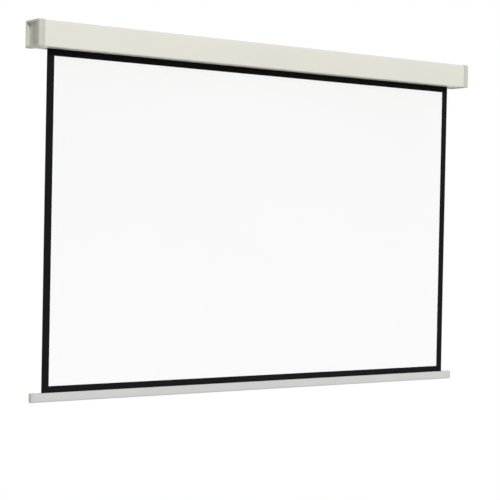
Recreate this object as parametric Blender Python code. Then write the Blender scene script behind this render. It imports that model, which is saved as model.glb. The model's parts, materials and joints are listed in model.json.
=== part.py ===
"""Wall-hung pull-down projector screen: a spring roller in a steel case, a bordered sheet and a slat.

Metres, +Z up. X runs along the case, the wall is the plane Y = 0 and the screen's front faces -Y.
The origin lies on the wall, level with the middle of the case. The screen is drawn fully down.
"""

import math

import bmesh
import bpy
from mathutils import Matrix, Vector

# Picture and sheet
IMAGE_WIDTH = 1.600
IMAGE_HEIGHT = 1.000
BORDER = 0.020
SIDE_BORDER = 0.025
FABRIC_THICK = 0.00045

# Case: a folded steel channel, open along its underside, drawn as one panel for each wall or fold
CASE_HEIGHT = 0.080
CASE_DEPTH = 0.085
CASE_OVERHANG = 0.055
CASE_SHEET = 0.0010
CASE_TOP_ROUND = 0.006
CASE_ROUND = 0.003
FOLD_LIP = 0.0005
SHEET_DRILL = 0.004
WALL_GAP = 0.006
FABRIC_SETBACK = 0.050
SLOT_WIDTH = 0.016
HEM_HEIGHT = 0.004
HEM_ROUND = 0.0016

# Moulded end caps, each a hood over the case's end with a deep sunk panel behind a broad front rim
CAP_WALL = 0.014
CAP_HOOD = 0.020
CAP_PROUD = 0.0015
CAP_RIM = 0.006
CAP_FRONT_RIM = 0.018
CAP_INSET = 0.0105
CAP_INSET_ROUND = 0.005
CAP_EDGE_ROUND = 0.0022
CAP_SEAT = CAP_INSET + 0.0015
CAP_SEAT_RADIUS = 0.0045

# Bearing brackets riveted inside the case's ends
PLATE_THICK = 0.0020
PLATE_FLANGE = 0.018
CAP_SCREW_RADIUS = 0.0020
CAP_SCREW_INSET = 0.019
RIVET_RADIUS = 0.0016
RIVET_INSET = 0.021
RIVET_EDGE = 0.005

# Roller
TUBE_RADIUS = 0.0175
TUBE_WALL = 0.0012
ROLLER_LIFT = 0.004
TAPE_THICK = 0.0002
TAPE_WIDTH = 0.020
WRAP_TURNS = 2
PLUG_DEPTH = 0.030
PLUG_FLANGE = 0.009
ROD_RADIUS = 0.0040
BLADE_THICK = 0.0040
BUSH_WALL = 0.0030
BUSH_FLANGE = 0.0020

# Lock: two pawls on the roller and a notched disc on the fixed rod
NOTCHES = 4
DISC_RADIUS = 0.0095
HUB_RADIUS = 0.0065
PAWL_CIRCLE = 0.0135
PAWL_LENGTH = 0.0090
PAWL_THICK = 0.0035
PAWL_BOSS = 0.0024
PAWL_NOSE = 0.0006
PAWL_GAP = 0.0005
PAWL_IN = 0.0070
PAWL_OUT = 0.0110
NOTCH_ROOM = 0.00045
PAWL_PIN_RADIUS = 0.0010
PAWL_PIN_HEAD = 0.0012
LOCK_RUN = 0.0065
CROSS_PIN_RADIUS = 0.0010

# Return spring inside the tube
SPRING_COILS = 30
SPRING_LENGTH = 0.180
SPRING_RADIUS = 0.0090
SPRING_WIRE = 0.0020
ANCHOR_LENGTH = 0.010
GUIDE_LENGTH = 0.010

# Wall brackets and their screws
BRACKET_INSET = 0.280
BRACKET_WIDTH = 0.040
BRACKET_THICK = 0.0020
BRACKET_REACH = 0.052
BRACKET_DROP = 0.022
BRACKET_BEND = 0.0030
WALL_HOLE_RADIUS = 0.00275
WALL_HOLE_HIGH = 0.020
WALL_HOLE_LOW = -0.010
CASE_SCREW_RADIUS = 0.0025
CASE_SCREW_BACK = 0.014
CASE_SCREW_PITCH = 0.022
NUT_WALL = 0.0022
NUT_HEIGHT = 0.006

# Bottom slat
SLAT_HEIGHT = 0.028
SLAT_DEPTH = 0.018
SLAT_OVERHANG = 0.038
SLAT_WALL = 0.0014
SLAT_TOP_ROUND = 0.003
SLAT_BOTTOM_ROUND = 0.006
SLAT_SLOT = 0.0024
CHANNEL_RADIUS = 0.0036
CHANNEL_LIP = 0.0026
SLAT_CAP = 0.006
SLAT_CAP_ROUND = 0.0015
SLAT_CAP_SPIGOT = 0.012

# Finger grip behind the slat
GRIP_WIDTH = 0.090
GRIP_THICK = 0.0026
GRIP_REACH = 0.022
GRIP_LIP = 0.008
GRIP_BEND = 0.0040
GRIP_BELOW_TOP = 0.005
GRIP_SCREW_RADIUS = 0.0015
GRIP_SCREW_SPREAD = 0.056
GRIP_SCREW_DOWN = 0.0145
GRIP_SCREW_LENGTH = 0.008

# Play between neighbours, and how far a cutter runs past what it cuts
CLEAR = 0.0003
PAST = 0.002

# Places that follow from the sizes above
CASE_BACK = -WALL_GAP
CASE_FRONT = CASE_BACK - CASE_DEPTH
CASE_TOP = CASE_HEIGHT / 2
CASE_BOTTOM = -CASE_HEIGHT / 2
FABRIC_Y = CASE_FRONT + FABRIC_SETBACK
FABRIC_HALF = IMAGE_WIDTH / 2 + SIDE_BORDER
CASE_HALF = FABRIC_HALF + CASE_OVERHANG
SHELL_HALF = CASE_HALF - CAP_WALL - CLEAR
PLATE_INNER = SHELL_HALF - PLATE_THICK
BRACKET_X = CASE_HALF - BRACKET_INSET
SLOT_FRONT = FABRIC_Y - SLOT_WIDTH / 2
SLOT_BACK = FABRIC_Y + SLOT_WIDTH / 2

WRAP_PITCH = FABRIC_THICK + CLEAR
WRAP_START = TUBE_RADIUS + TAPE_THICK + 2 * CLEAR + FABRIC_THICK / 2
EXIT_RADIUS = WRAP_START + WRAP_TURNS * WRAP_PITCH
ROLLER_Y = FABRIC_Y - EXIT_RADIUS
ROLLER_Z = ROLLER_LIFT
END_SPACE = 2 * CLEAR + PLUG_FLANGE + PAWL_GAP + PAWL_THICK + PAWL_PIN_HEAD + LOCK_RUN
TUBE_HALF = PLATE_INNER - END_SPACE
TUBE_BORE = TUBE_RADIUS - TUBE_WALL
PLUG_FACE = TUBE_HALF + CLEAR + PLUG_FLANGE
PAWL_NEAR = PLUG_FACE + PAWL_GAP
PAWL_FAR = PAWL_NEAR + PAWL_THICK
ROD_BORE = ROD_RADIUS + CLEAR
BLADE_HALF = math.sqrt(ROD_RADIUS**2 - BLADE_THICK**2 / 4)
BUSH_RADIUS = ROD_BORE + BUSH_WALL
BUSH_FACE = PLATE_INNER - CLEAR - BUSH_FLANGE
SPRING_START = TUBE_HALF - PLUG_DEPTH - CLEAR
ANCHOR_NEAR = SPRING_START - SPRING_LENGTH - CLEAR
ANCHOR_FAR = ANCHOR_NEAR - ANCHOR_LENGTH
GUIDE_NEAR = ANCHOR_FAR - CLEAR
GUIDE_FAR = GUIDE_NEAR - GUIDE_LENGTH

DROP = IMAGE_HEIGHT + 2 * BORDER
SLAT_TOP = CASE_BOTTOM - DROP
SLAT_BOTTOM = SLAT_TOP - SLAT_HEIGHT
SLAT_HALF = FABRIC_HALF + SLAT_OVERHANG
SLAT_BODY_HALF = SLAT_HALF - SLAT_CAP - CLEAR
CHANNEL_Z = SLAT_TOP - CHANNEL_LIP - CHANNEL_RADIUS
HOLLOW_TOP = CHANNEL_Z - CHANNEL_RADIUS - SLAT_WALL
HOLLOW_BOTTOM = SLAT_BOTTOM + SLAT_WALL
SLEEVE_RADIUS = CHANNEL_RADIUS - CLEAR
HEM_ROD_RADIUS = SLEEVE_RADIUS - FABRIC_THICK - CLEAR
SLAT_BACK = FABRIC_Y + SLAT_DEPTH / 2

# The slat parks a whole number of notches up, so the pawls meet the disc at both ends of its travel
NOTCH_STEP = 2 * math.pi / NOTCHES * EXIT_RADIUS
PARK_GAP = CAP_PROUD + CLEAR
TRAVEL = math.floor((DROP - PARK_GAP) / NOTCH_STEP) * NOTCH_STEP


def clear_scene():
    for obj in list(bpy.data.objects):
        bpy.data.objects.remove(obj, do_unlink=True)


def material(name, colour, roughness, metallic=0.0):
    made = bpy.data.materials.new(name)
    made.use_nodes = True
    shader = made.node_tree.nodes["Principled BSDF"]
    shader.inputs["Base Color"].default_value = (*colour, 1.0)
    shader.inputs["Roughness"].default_value = roughness
    shader.inputs["Metallic"].default_value = metallic
    made.diffuse_color = (*colour, 1.0)
    return made


def empty(name, at, parent=None):
    made = bpy.data.objects.new(name, None)
    made.empty_display_size = 0.02
    bpy.context.scene.collection.objects.link(made)
    settle(made, at, parent)
    return made


def world_place(obj):
    """Where an object stands, counted up through parents that only shift it."""
    place = obj.location.copy()
    while obj.parent:
        obj = obj.parent
        place += obj.location
    return place


def settle(obj, at, parent):
    obj.parent = parent
    obj.location = Vector(at) - (world_place(parent) if parent else Vector())


def piece(name, bm, finish, at=(0, 0, 0), parent=None, facing=None, sharp=35):
    """Makes an object of a bmesh drawn round its own origin, which lands at the given place."""
    mesh = bpy.data.meshes.new(name)
    bm.to_mesh(mesh)
    bm.free()
    mesh.materials.append(finish)
    mesh.shade_smooth()
    mesh.set_sharp_from_angle(angle=math.radians(sharp))
    made = bpy.data.objects.new(name, mesh)
    bpy.context.scene.collection.objects.link(made)
    settle(made, at, parent)
    if facing:
        made.rotation_euler = Vector((1, 0, 0)).rotation_difference(Vector(facing)).to_euler()
    return made


def combine(target, tool, operation):
    tool.hide_render = True
    tool.display_type = "WIRE"
    modifier = target.modifiers.new(tool.name, "BOOLEAN")
    modifier.object = tool
    modifier.operation = operation
    modifier.solver = "EXACT"


def cut(target, tool):
    combine(target, tool, "DIFFERENCE")


def fuse(target, tool):
    combine(target, tool, "UNION")


def clockwise(vector, angle):
    turn = Matrix.Rotation(-angle, 2)
    return turn @ vector


def bent_path(points, radii, inward=0.0, steps=5):
    """A path of right-hand bends in Y and Z, moved inward to its right by a sheet's thickness."""
    points = [Vector(point) for point in points]
    path = []
    ways = [(b - a).normalized() for a, b in zip(points, points[1:])]
    rights = [Vector((way.y, -way.x)) for way in ways]
    path.append(points[0] + rights[0] * inward)
    for corner, before, after, right, radius in zip(points[1:], ways, ways[1:], rights, radii):
        turn = before.angle(after)
        start = corner - before * radius * math.tan(turn / 2)
        centre = start + right * radius
        for step in range(steps + 1):
            path.append(centre - clockwise(right, turn * step / steps) * (radius - inward))
    path.append(points[-1] + rights[-1] * inward)
    return path


def strip(points, radii, thickness):
    """The closed section of a folded sheet, whose outer skin follows the path."""
    outer = bent_path(points, radii)
    inner = bent_path(points, radii, thickness)
    return outer + inner[::-1]


def rounded(front, back, bottom, top, radii, grow=0.0, steps=5):
    """A rounded rectangle. Radii run front-bottom, front-top, back-top, back-bottom, and follow grow."""
    corners = (
        (front - grow, bottom - grow, 1, 1, 180),
        (front - grow, top + grow, 1, -1, 90),
        (back + grow, top + grow, -1, -1, 0),
        (back + grow, bottom - grow, -1, 1, -90),
    )
    loop = []
    for (y, z, y_in, z_in, heading), radius in zip(corners, radii):
        radius = max(radius + grow, CLEAR)
        for step in range(steps + 1):
            angle = math.radians(heading + 90 - 90 * step / steps)
            loop.append((y + radius * (y_in + math.cos(angle)), z + radius * (z_in + math.sin(angle))))
    return loop


def prism(loop, x_low, x_high):
    bm = bmesh.new()
    low = [bm.verts.new((x_low, y, z)) for y, z in loop]
    high = [bm.verts.new((x_high, y, z)) for y, z in loop]
    bm.faces.new(low)
    bm.faces.new(high)
    for i in range(len(loop)):
        bm.faces.new((low[i - 1], low[i], high[i], high[i - 1]))
    bmesh.ops.recalc_face_normals(bm, faces=bm.faces)
    return bm


def box(x_span, y_span, z_span):
    (y_low, y_high), (z_low, z_high) = sorted(y_span), sorted(z_span)
    return prism(((y_low, z_low), (y_low, z_high), (y_high, z_high), (y_high, z_low)), *sorted(x_span))


def turned(profile, segments=32, bored=False):
    """A body turned about X from (x, radius) points, from axis to axis or, if bored, a closed section."""
    bm = bmesh.new()
    rows = []
    for along, radius in profile:
        count = segments if radius > 0 else 1
        angles = [2 * math.pi * i / count for i in range(count)]
        rows.append([bm.verts.new((along, radius * math.cos(a), radius * math.sin(a))) for a in angles])
    pairs = list(zip(rows, rows[1:]))
    if bored:
        pairs.append((rows[-1], rows[0]))
    for low, high in pairs:
        for i in range(segments):
            j = (i + 1) % segments
            around = (low[i % len(low)], low[j % len(low)], high[j % len(high)], high[i % len(high)])
            bm.faces.new(list(dict.fromkeys(around)))
    bmesh.ops.recalc_face_normals(bm, faces=bm.faces)
    return bm


def rod(x_low, x_high, radius, segments=16):
    return turned(((x_low, 0), (x_low, radius), (x_high, radius), (x_high, 0)), segments)


def hole(name, target, at, facing, radius, depth, segments=20):
    """Drills a round hole, centred on a point of its axis."""
    tool = piece(name, rod(-depth / 2, depth / 2, radius, segments), FINISH["steel"], at, facing=facing)
    cut(target, tool)


def screw(name, radius, length, finish, at, facing, parent=None):
    """A pan-head screw with a cross recess, whose head sits on the given point."""
    head = 2.0 * radius
    height = 1.0 * radius
    profile = (
        (-length, 0),
        (-length, radius * 0.6),
        (-length + radius * 0.8, radius),
        (0, radius),
        (0, head),
        (height * 0.4, head),
        (height * 0.85, head * 0.65),
        (height, 0),
    )
    made = piece(name, turned(profile, 14), finish, at, parent, facing, sharp=50)
    arm = head * 0.55
    half = head * 0.11
    cross = (
        (-arm, -half), (-arm, half), (-half, half), (-half, arm), (half, arm), (half, half),
        (arm, half), (arm, -half), (half, -half), (half, -arm), (-half, -arm), (-half, -half),
    )
    recess = piece(name + "_recess", prism(cross, height * 0.35, height + PAST), finish, at, parent, facing)
    cut(made, recess)
    return made


def case_panels():
    """The channel's walls and folds, parted just past the bends."""
    low = CASE_BOTTOM + CASE_ROUND + FOLD_LIP
    high_front = CASE_TOP - CASE_TOP_ROUND - FOLD_LIP
    high_back = CASE_TOP - CASE_ROUND - FOLD_LIP
    hem = CASE_BOTTOM + HEM_HEIGHT
    nose = CASE_FRONT + CASE_TOP_ROUND + FOLD_LIP
    panels = {}
    for name, path, radii in (
        (
            "case_sill_front",
            ((SLOT_FRONT, hem), (SLOT_FRONT, CASE_BOTTOM), (CASE_FRONT, CASE_BOTTOM), (CASE_FRONT, low)),
            (HEM_ROUND, CASE_ROUND),
        ),
        ("case_front", ((CASE_FRONT, low + CLEAR), (CASE_FRONT, high_front - CLEAR)), ()),
        (
            "case_top_edge",
            ((CASE_FRONT, high_front), (CASE_FRONT, CASE_TOP), (nose, CASE_TOP)),
            (CASE_TOP_ROUND,),
        ),
        (
            "case_top",
            ((nose + CLEAR, CASE_TOP), (CASE_BACK, CASE_TOP), (CASE_BACK, high_back)),
            (CASE_ROUND,),
        ),
        ("case_back", ((CASE_BACK, high_back - CLEAR), (CASE_BACK, low + CLEAR)), ()),
        (
            "case_sill_rear",
            ((CASE_BACK, low), (CASE_BACK, CASE_BOTTOM), (SLOT_BACK, CASE_BOTTOM), (SLOT_BACK, hem)),
            (CASE_ROUND, HEM_ROUND),
        ),
    ):
        section = strip(path, radii, CASE_SHEET)
        panels[name] = piece(name, prism(section, -SHELL_HALF, SHELL_HALF), FINISH["case"])
    back = panels["case_back"]
    top = panels["case_top"]
    for side in (-1, 1):
        name = side_name(side)
        for index, z in enumerate(rivet_heights()):
            at = (side * rivet_x(), CASE_BACK, z)
            radius = RIVET_RADIUS + CLEAR
            hole(f"rivet_hole_{name}_{index}", back, at, (0, 1, 0), radius, SHEET_DRILL)
        for index, y in enumerate(case_screw_rows()):
            at = (side * BRACKET_X, y, CASE_TOP)
            radius = CASE_SCREW_RADIUS + CLEAR
            hole(f"screw_hole_{name}_{index}", top, at, (0, 0, 1), radius, SHEET_DRILL)


def side_name(side):
    return "left" if side < 0 else "right"


def case_outline(grow):
    radii = (CASE_ROUND, CASE_TOP_ROUND, CASE_ROUND, CASE_ROUND)
    return rounded(CASE_FRONT, CASE_BACK, CASE_BOTTOM, CASE_TOP, radii, grow)


def cap_screw_heights():
    return (CASE_BOTTOM + CAP_SCREW_INSET, CASE_TOP - CAP_SCREW_INSET)


def cap_screw_y():
    """The screws stand midway between the roller's plug and the back of the case."""
    return (ROLLER_Y + TUBE_RADIUS + CASE_BACK) / 2


def rivet_heights():
    return (CASE_BOTTOM + RIVET_INSET, CASE_TOP - RIVET_INSET)


def rivet_x():
    """Clear of the hood, in the bracket's flange."""
    return PLATE_INNER - PLATE_FLANGE + RIVET_EDGE


def case_screw_rows():
    return (CASE_BACK - CASE_SCREW_BACK, CASE_BACK - CASE_SCREW_BACK - CASE_SCREW_PITCH)


def cap_panel(side):
    """The cutter for a cap's sunk panel, whose front rim is broader than the others."""
    grow = CAP_PROUD - CAP_RIM
    front = CASE_FRONT + CAP_FRONT_RIM - CAP_RIM
    radii = [CAP_INSET_ROUND - grow] * 4
    outline = rounded(front, CASE_BACK, CASE_BOTTOM, CASE_TOP, radii, grow)
    return prism(outline, side * (CASE_HALF - CAP_INSET), side * (CASE_HALF + PAST))


def end_cap(side):
    """A moulded hood with a panel sunk in its end."""
    name = side_name(side)
    bm = prism(case_outline(CAP_PROUD), side * (CASE_HALF - CAP_HOOD), side * CASE_HALF)
    end = max(bm.faces, key=lambda face: side * face.calc_center_median().x)
    bmesh.ops.bevel(bm, geom=list(end.edges), offset=CAP_EDGE_ROUND, segments=3, profile=0.5, affect="EDGES")
    cap = piece(f"end_cap_{name}", bm, FINISH["cap"])
    cut(cap, piece(f"cap_panel_{name}", cap_panel(side), FINISH["cap"]))
    pocket = prism(case_outline(CLEAR), side * (CASE_HALF - CAP_HOOD - PAST), side * (CASE_HALF - CAP_WALL))
    cut(cap, piece(f"cap_pocket_{name}", pocket, FINISH["cap"]))
    for index, z in enumerate(cap_screw_heights()):
        at = (side * CASE_HALF, cap_screw_y(), z)
        hole(f"cap_seat_{name}_{index}", cap, at, (1, 0, 0), CAP_SEAT_RADIUS, 2 * CAP_SEAT, 24)
        hole(f"cap_hole_{name}_{index}", cap, at, (1, 0, 0), CAP_SCREW_RADIUS + CLEAR, 4 * CAP_WALL)
    return cap


def bearing_bracket(side):
    """A folded steel plate that carries one end of the roller, with flanges along the case's back and top."""
    front = CASE_FRONT + CASE_SHEET + CLEAR
    back = CASE_BACK - CASE_SHEET - CLEAR
    low = CASE_BOTTOM + HEM_HEIGHT + CLEAR
    high = CASE_TOP - CASE_SHEET - CLEAR
    radii = (CASE_ROUND, CASE_TOP_ROUND, CASE_ROUND, CASE_ROUND)
    plate = prism(rounded(front, back, low, high, radii), side * PLATE_INNER, side * SHELL_HALF)
    name = side_name(side)
    bracket = piece(f"bearing_bracket_{name}", plate, FINISH["steel"])
    reach = (side * (PLATE_INNER - PLATE_FLANGE), side * (PLATE_INNER + PLATE_THICK / 2))
    rear = box(reach, (back - PLATE_THICK, back), (low + CASE_ROUND, high - CASE_ROUND))
    fuse(bracket, piece(f"rear_flange_{name}", rear, FINISH["steel"]))
    over = box(reach, (front + CASE_TOP_ROUND, back - CASE_ROUND), (high - PLATE_THICK, high))
    fuse(bracket, piece(f"top_flange_{name}", over, FINISH["steel"]))
    middle = (side * SHELL_HALF, ROLLER_Y, ROLLER_Z)
    if side < 0:
        half_width = BLADE_HALF + CLEAR
        half_thick = BLADE_THICK / 2 + CLEAR
        reach = PLATE_THICK + PAST
        slot = box((-reach, reach), (-half_thick, half_thick), (-half_width, half_width))
        cut(bracket, piece("blade_slot", slot, FINISH["steel"], middle))
    else:
        hole("bush_seat", bracket, middle, (1, 0, 0), BUSH_RADIUS + CLEAR, 4 * PLATE_THICK, 32)
    for index, z in enumerate(cap_screw_heights()):
        at = (side * SHELL_HALF, cap_screw_y(), z)
        hole(f"plate_hole_{name}_{index}", bracket, at, (1, 0, 0), CAP_SCREW_RADIUS + CLEAR, 4 * PLATE_THICK)
    for index, z in enumerate(rivet_heights()):
        at = (side * rivet_x(), back, z)
        hole(f"flange_hole_{name}_{index}", bracket, at, (0, 1, 0), RIVET_RADIUS + CLEAR, 4 * PLATE_THICK)
    return bracket


def end_fasteners(side):
    name = side_name(side)
    seat = side * (CASE_HALF - CAP_SEAT + CLEAR)
    for word, z in zip(("lower", "upper"), cap_screw_heights()):
        length = CAP_WALL - CAP_SEAT + PLATE_THICK + PAST
        at = (seat, cap_screw_y(), z)
        screw(f"cap_screw_{name}_{word}", CAP_SCREW_RADIUS, length, FINISH["zinc"], at, (side, 0, 0))
    head = 2 * RIVET_RADIUS
    through = CASE_SHEET + CLEAR + PLATE_THICK + 2 * CLEAR
    profile = (
        (-through - RIVET_RADIUS, 0),
        (-through - RIVET_RADIUS, head * 0.6),
        (-through, head * 0.8),
        (-through, RIVET_RADIUS),
        (0, RIVET_RADIUS),
        (0, head),
        (RIVET_RADIUS * 0.4, head),
        (RIVET_RADIUS * 0.7, 0),
    )
    for word, z in zip(("lower", "upper"), rivet_heights()):
        at = (side * rivet_x(), CASE_BACK + CLEAR, z)
        piece(f"bracket_rivet_{name}_{word}", turned(profile, 12), FINISH["zinc"], at, facing=(0, 1, 0))


def wall_bracket(side):
    """An L of steel strap: one leg behind the case on the wall, the other over its top."""
    name = side_name(side)
    x = side * BRACKET_X
    top = CASE_TOP + CLEAR + BRACKET_THICK
    path = ((-BRACKET_REACH, top), (0, top), (0, -BRACKET_DROP))
    section = strip(path, (BRACKET_BEND,), BRACKET_THICK)
    half = BRACKET_WIDTH / 2
    bracket = piece(f"wall_bracket_{name}", prism(section, -half, half), FINISH["zinc"], (x, 0, 0))
    for index, z in enumerate((WALL_HOLE_LOW, WALL_HOLE_HIGH)):
        hole(f"wall_hole_{name}_{index}", bracket, (x, 0, z), (0, 1, 0), WALL_HOLE_RADIUS, 4 * BRACKET_THICK)
    bore = CASE_SCREW_RADIUS + CLEAR
    nut = ((-NUT_HEIGHT, bore), (-NUT_HEIGHT, bore + NUT_WALL), (0, bore + NUT_WALL), (0, bore))
    length = BRACKET_THICK + CASE_SHEET + NUT_HEIGHT + 4 * CLEAR
    up = (0, 0, 1)
    for word, y in zip(("rear", "front"), case_screw_rows()):
        hole(f"strap_hole_{name}_{word}", bracket, (x, y, top), up, bore, 4 * BRACKET_THICK)
        seat = (x, y, top + CLEAR)
        screw(f"bracket_screw_{name}_{word}", CASE_SCREW_RADIUS, length, FINISH["zinc"], seat, up)
        under = (x, y, CASE_TOP - CASE_SHEET - CLEAR)
        piece(f"clinch_nut_{name}_{word}", turned(nut, 12, bored=True), FINISH["zinc"], under, facing=up)


def on_axis(name, bm, finish, at=(0, 0), parent=None):
    """A piece drawn round the roller's axis, or beside it in Y and Z."""
    return piece(name, bm, finish, (0, ROLLER_Y + at[0], ROLLER_Z + at[1]), parent)


def tube(inner, outer, x_low, x_high, segments=48):
    return turned(((x_low, inner), (x_low, outer), (x_high, outer), (x_high, inner)), segments, bored=True)


def cross_pin(name, x, reach):
    pin = rod(-reach, reach, CROSS_PIN_RADIUS, 10)
    return piece(name, pin, FINISH["steel"], (x, ROLLER_Y, ROLLER_Z), facing=(0, 0, 1))


def fixed_rod():
    """The rod that the roller turns on. Its flat end stands in the left bracket, so it can't turn."""
    x_far = -(GUIDE_FAR - PAST)
    spindle = on_axis("spindle", rod(-(PLATE_INNER - CLEAR), x_far, ROD_RADIUS, 24), FINISH["steel"])
    inside = -(PLATE_INNER - 2 * PLATE_THICK)
    half_thick = BLADE_THICK / 2
    blade = box((-SHELL_HALF, inside), (-half_thick, half_thick), (-BLADE_HALF, BLADE_HALF))
    fuse(spindle, on_axis("spindle_blade", blade, FINISH["steel"]))
    for name, x, reach in (
        ("lock_pin", -(PAWL_FAR + LOCK_RUN / 2), HUB_RADIUS),
        ("anchor_pin", -(ANCHOR_NEAR - ANCHOR_LENGTH / 2), SPRING_RADIUS),
    ):
        cross_pin(name, x, reach)
        at = (x, ROLLER_Y, ROLLER_Z)
        hole(f"{name}_way", spindle, at, (0, 0, 1), CROSS_PIN_RADIUS + CLEAR, 4 * ROD_RADIUS, 12)
    return spindle


def arm_angle(reach):
    """The angle at a pawl's pin, between the way to the axis and its arm, when its nose is that far out."""
    cosine = (PAWL_CIRCLE**2 + PAWL_LENGTH**2 - reach**2) / (2 * PAWL_CIRCLE * PAWL_LENGTH)
    return math.acos(cosine)


def pawl_outline(angle, room=0.0, steps=8):
    """A tapered arm round the pin, swung out by an angle from the way to the axis."""
    way = Vector((-math.sin(angle), -math.cos(angle)))
    span = PAWL_LENGTH - PAWL_NOSE
    lean = math.asin((PAWL_BOSS - PAWL_NOSE) / span)
    heading = math.atan2(way.y, way.x)
    loop = []
    for centre, radius, first, last in (
        (Vector((0, 0)), PAWL_BOSS + room, math.pi / 2 - lean, 3 * math.pi / 2 + lean),
        (way * span, PAWL_NOSE + room, -math.pi / 2 + lean, math.pi / 2 - lean),
    ):
        for step in range(steps + 1):
            turn = heading + first + (last - first) * step / steps
            loop.append(centre + Vector((math.cos(turn), math.sin(turn))) * radius)
    return loop


def lock_disc():
    """The notched disc and its hub, pinned to the rod. Each notch leaves room for a pawl's whole swing."""
    hub_end = PAWL_FAR + LOCK_RUN
    section = (
        (-PAWL_NEAR, ROD_BORE),
        (-PAWL_NEAR, DISC_RADIUS),
        (-PAWL_FAR, DISC_RADIUS),
        (-PAWL_FAR, HUB_RADIUS),
        (-hub_end, HUB_RADIUS),
        (-hub_end, ROD_BORE),
    )
    disc = on_axis("lock_disc", turned(section, 40, bored=True), FINISH["steel"])
    engaged = arm_angle(PAWL_IN)
    released = arm_angle(PAWL_OUT)
    for index in range(NOTCHES):
        bm = bmesh.new()
        turn = Matrix.Rotation(2 * math.pi * index / NOTCHES, 3, "X")
        for share in (0, 0.5, 1):
            for y, z in pawl_outline(engaged + (released - engaged) * share, NOTCH_ROOM):
                for x in (-PAWL_FAR, -PAWL_NEAR + PAST):
                    bm.verts.new(turn @ Vector((x, y, z + PAWL_CIRCLE)))
        hull = bmesh.ops.convex_hull(bm, input=bm.verts)
        loose = [item for item in hull["geom_interior"] if isinstance(item, bmesh.types.BMVert)]
        bmesh.ops.delete(bm, geom=loose, context="VERTS")
        bmesh.ops.recalc_face_normals(bm, faces=bm.faces)
        cut(disc, on_axis(f"notch_{index}", bm, FINISH["steel"]))
    at = (-(PAWL_FAR + LOCK_RUN / 2), ROLLER_Y, ROLLER_Z)
    hole("lock_pin_seat", disc, at, (0, 0, 1), CROSS_PIN_RADIUS + CLEAR, 4 * HUB_RADIUS, 12)
    return disc


def spring_anchor():
    ring = tube(ROD_BORE, SPRING_RADIUS + SPRING_WIRE / 2, -ANCHOR_NEAR, -ANCHOR_FAR, 28)
    anchor = on_axis("spring_anchor", ring, FINISH["zinc"])
    at = (-(ANCHOR_NEAR - ANCHOR_LENGTH / 2), ROLLER_Y, ROLLER_Z)
    hole("anchor_pin_seat", anchor, at, (0, 0, 1), CROSS_PIN_RADIUS + CLEAR, 4 * SPRING_RADIUS, 12)
    return anchor


def torsion_spring():
    """One unbroken wire, from the roller's plug to the anchor, with a straight tail at each end."""
    per_coil = 8
    start = -SPRING_START
    end = -ANCHOR_NEAR - CLEAR
    tail = SPRING_WIRE
    count = SPRING_COILS * per_coil
    points = [(start, SPRING_RADIUS, 0)]
    for i in range(count + 1):
        angle = 2 * math.pi * i / per_coil
        x = start + tail + (end - start - 2 * tail) * i / count
        points.append((x, SPRING_RADIUS * math.cos(angle), SPRING_RADIUS * math.sin(angle)))
    points.append((end, SPRING_RADIUS, 0))
    curve = bpy.data.curves.new("torsion_spring", "CURVE")
    curve.dimensions = "3D"
    curve.bevel_depth = SPRING_WIRE / 2
    curve.bevel_resolution = 1
    curve.use_fill_caps = True
    line = curve.splines.new("POLY")
    line.points.add(len(points) - 1)
    for target, point in zip(line.points, points):
        target.co = (*point, 1)
    curve.materials.append(FINISH["spring"])
    made = bpy.data.objects.new("torsion_spring", curve)
    bpy.context.scene.collection.objects.link(made)
    settle(made, (0, ROLLER_Y, ROLLER_Z), None)
    pitch = (end - start - 2 * tail) / SPRING_COILS
    print(f"torsion_spring: {SPRING_COILS} coils, least gap to itself {(pitch - SPRING_WIRE) * 1000:.2f} mm")
    return made


def end_plug(name, side, bore, parent):
    """A nylon plug in the tube's end, with a flange as wide as the tube."""
    inner = TUBE_BORE - CLEAR
    section = (
        (side * (TUBE_HALF - PLUG_DEPTH), bore),
        (side * (TUBE_HALF - PLUG_DEPTH), inner),
        (side * (TUBE_HALF + CLEAR), inner),
        (side * (TUBE_HALF + CLEAR), TUBE_RADIUS),
        (side * PLUG_FACE, TUBE_RADIUS),
        (side * PLUG_FACE, bore),
    )
    return on_axis(name, turned(section, 32, bored=True), FINISH["nylon"], parent=parent)


def idle_pin(parent):
    """The right journal: a shank in the plug, a collar and a pin in the bush."""
    near = TUBE_HALF - PLUG_DEPTH / 2
    collar = PLUG_FACE + CLEAR
    profile = (
        (near, 0),
        (near, ROD_RADIUS),
        (collar, ROD_RADIUS),
        (collar, HUB_RADIUS),
        (BUSH_FACE - PAWL_GAP, HUB_RADIUS),
        (BUSH_FACE - PAWL_GAP, ROD_RADIUS),
        (SHELL_HALF, ROD_RADIUS),
        (SHELL_HALF, 0),
    )
    return on_axis("idle_pin", turned(profile, 24), FINISH["steel"], parent=parent)


def idle_bush():
    section = (
        (BUSH_FACE, ROD_BORE),
        (BUSH_FACE, BUSH_RADIUS + BUSH_WALL),
        (BUSH_FACE + BUSH_FLANGE, BUSH_RADIUS + BUSH_WALL),
        (BUSH_FACE + BUSH_FLANGE, BUSH_RADIUS),
        (SHELL_HALF, BUSH_RADIUS),
        (SHELL_HALF, ROD_BORE),
    )
    return on_axis("idle_bush", turned(section, 32, bored=True), FINISH["nylon"])


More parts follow.
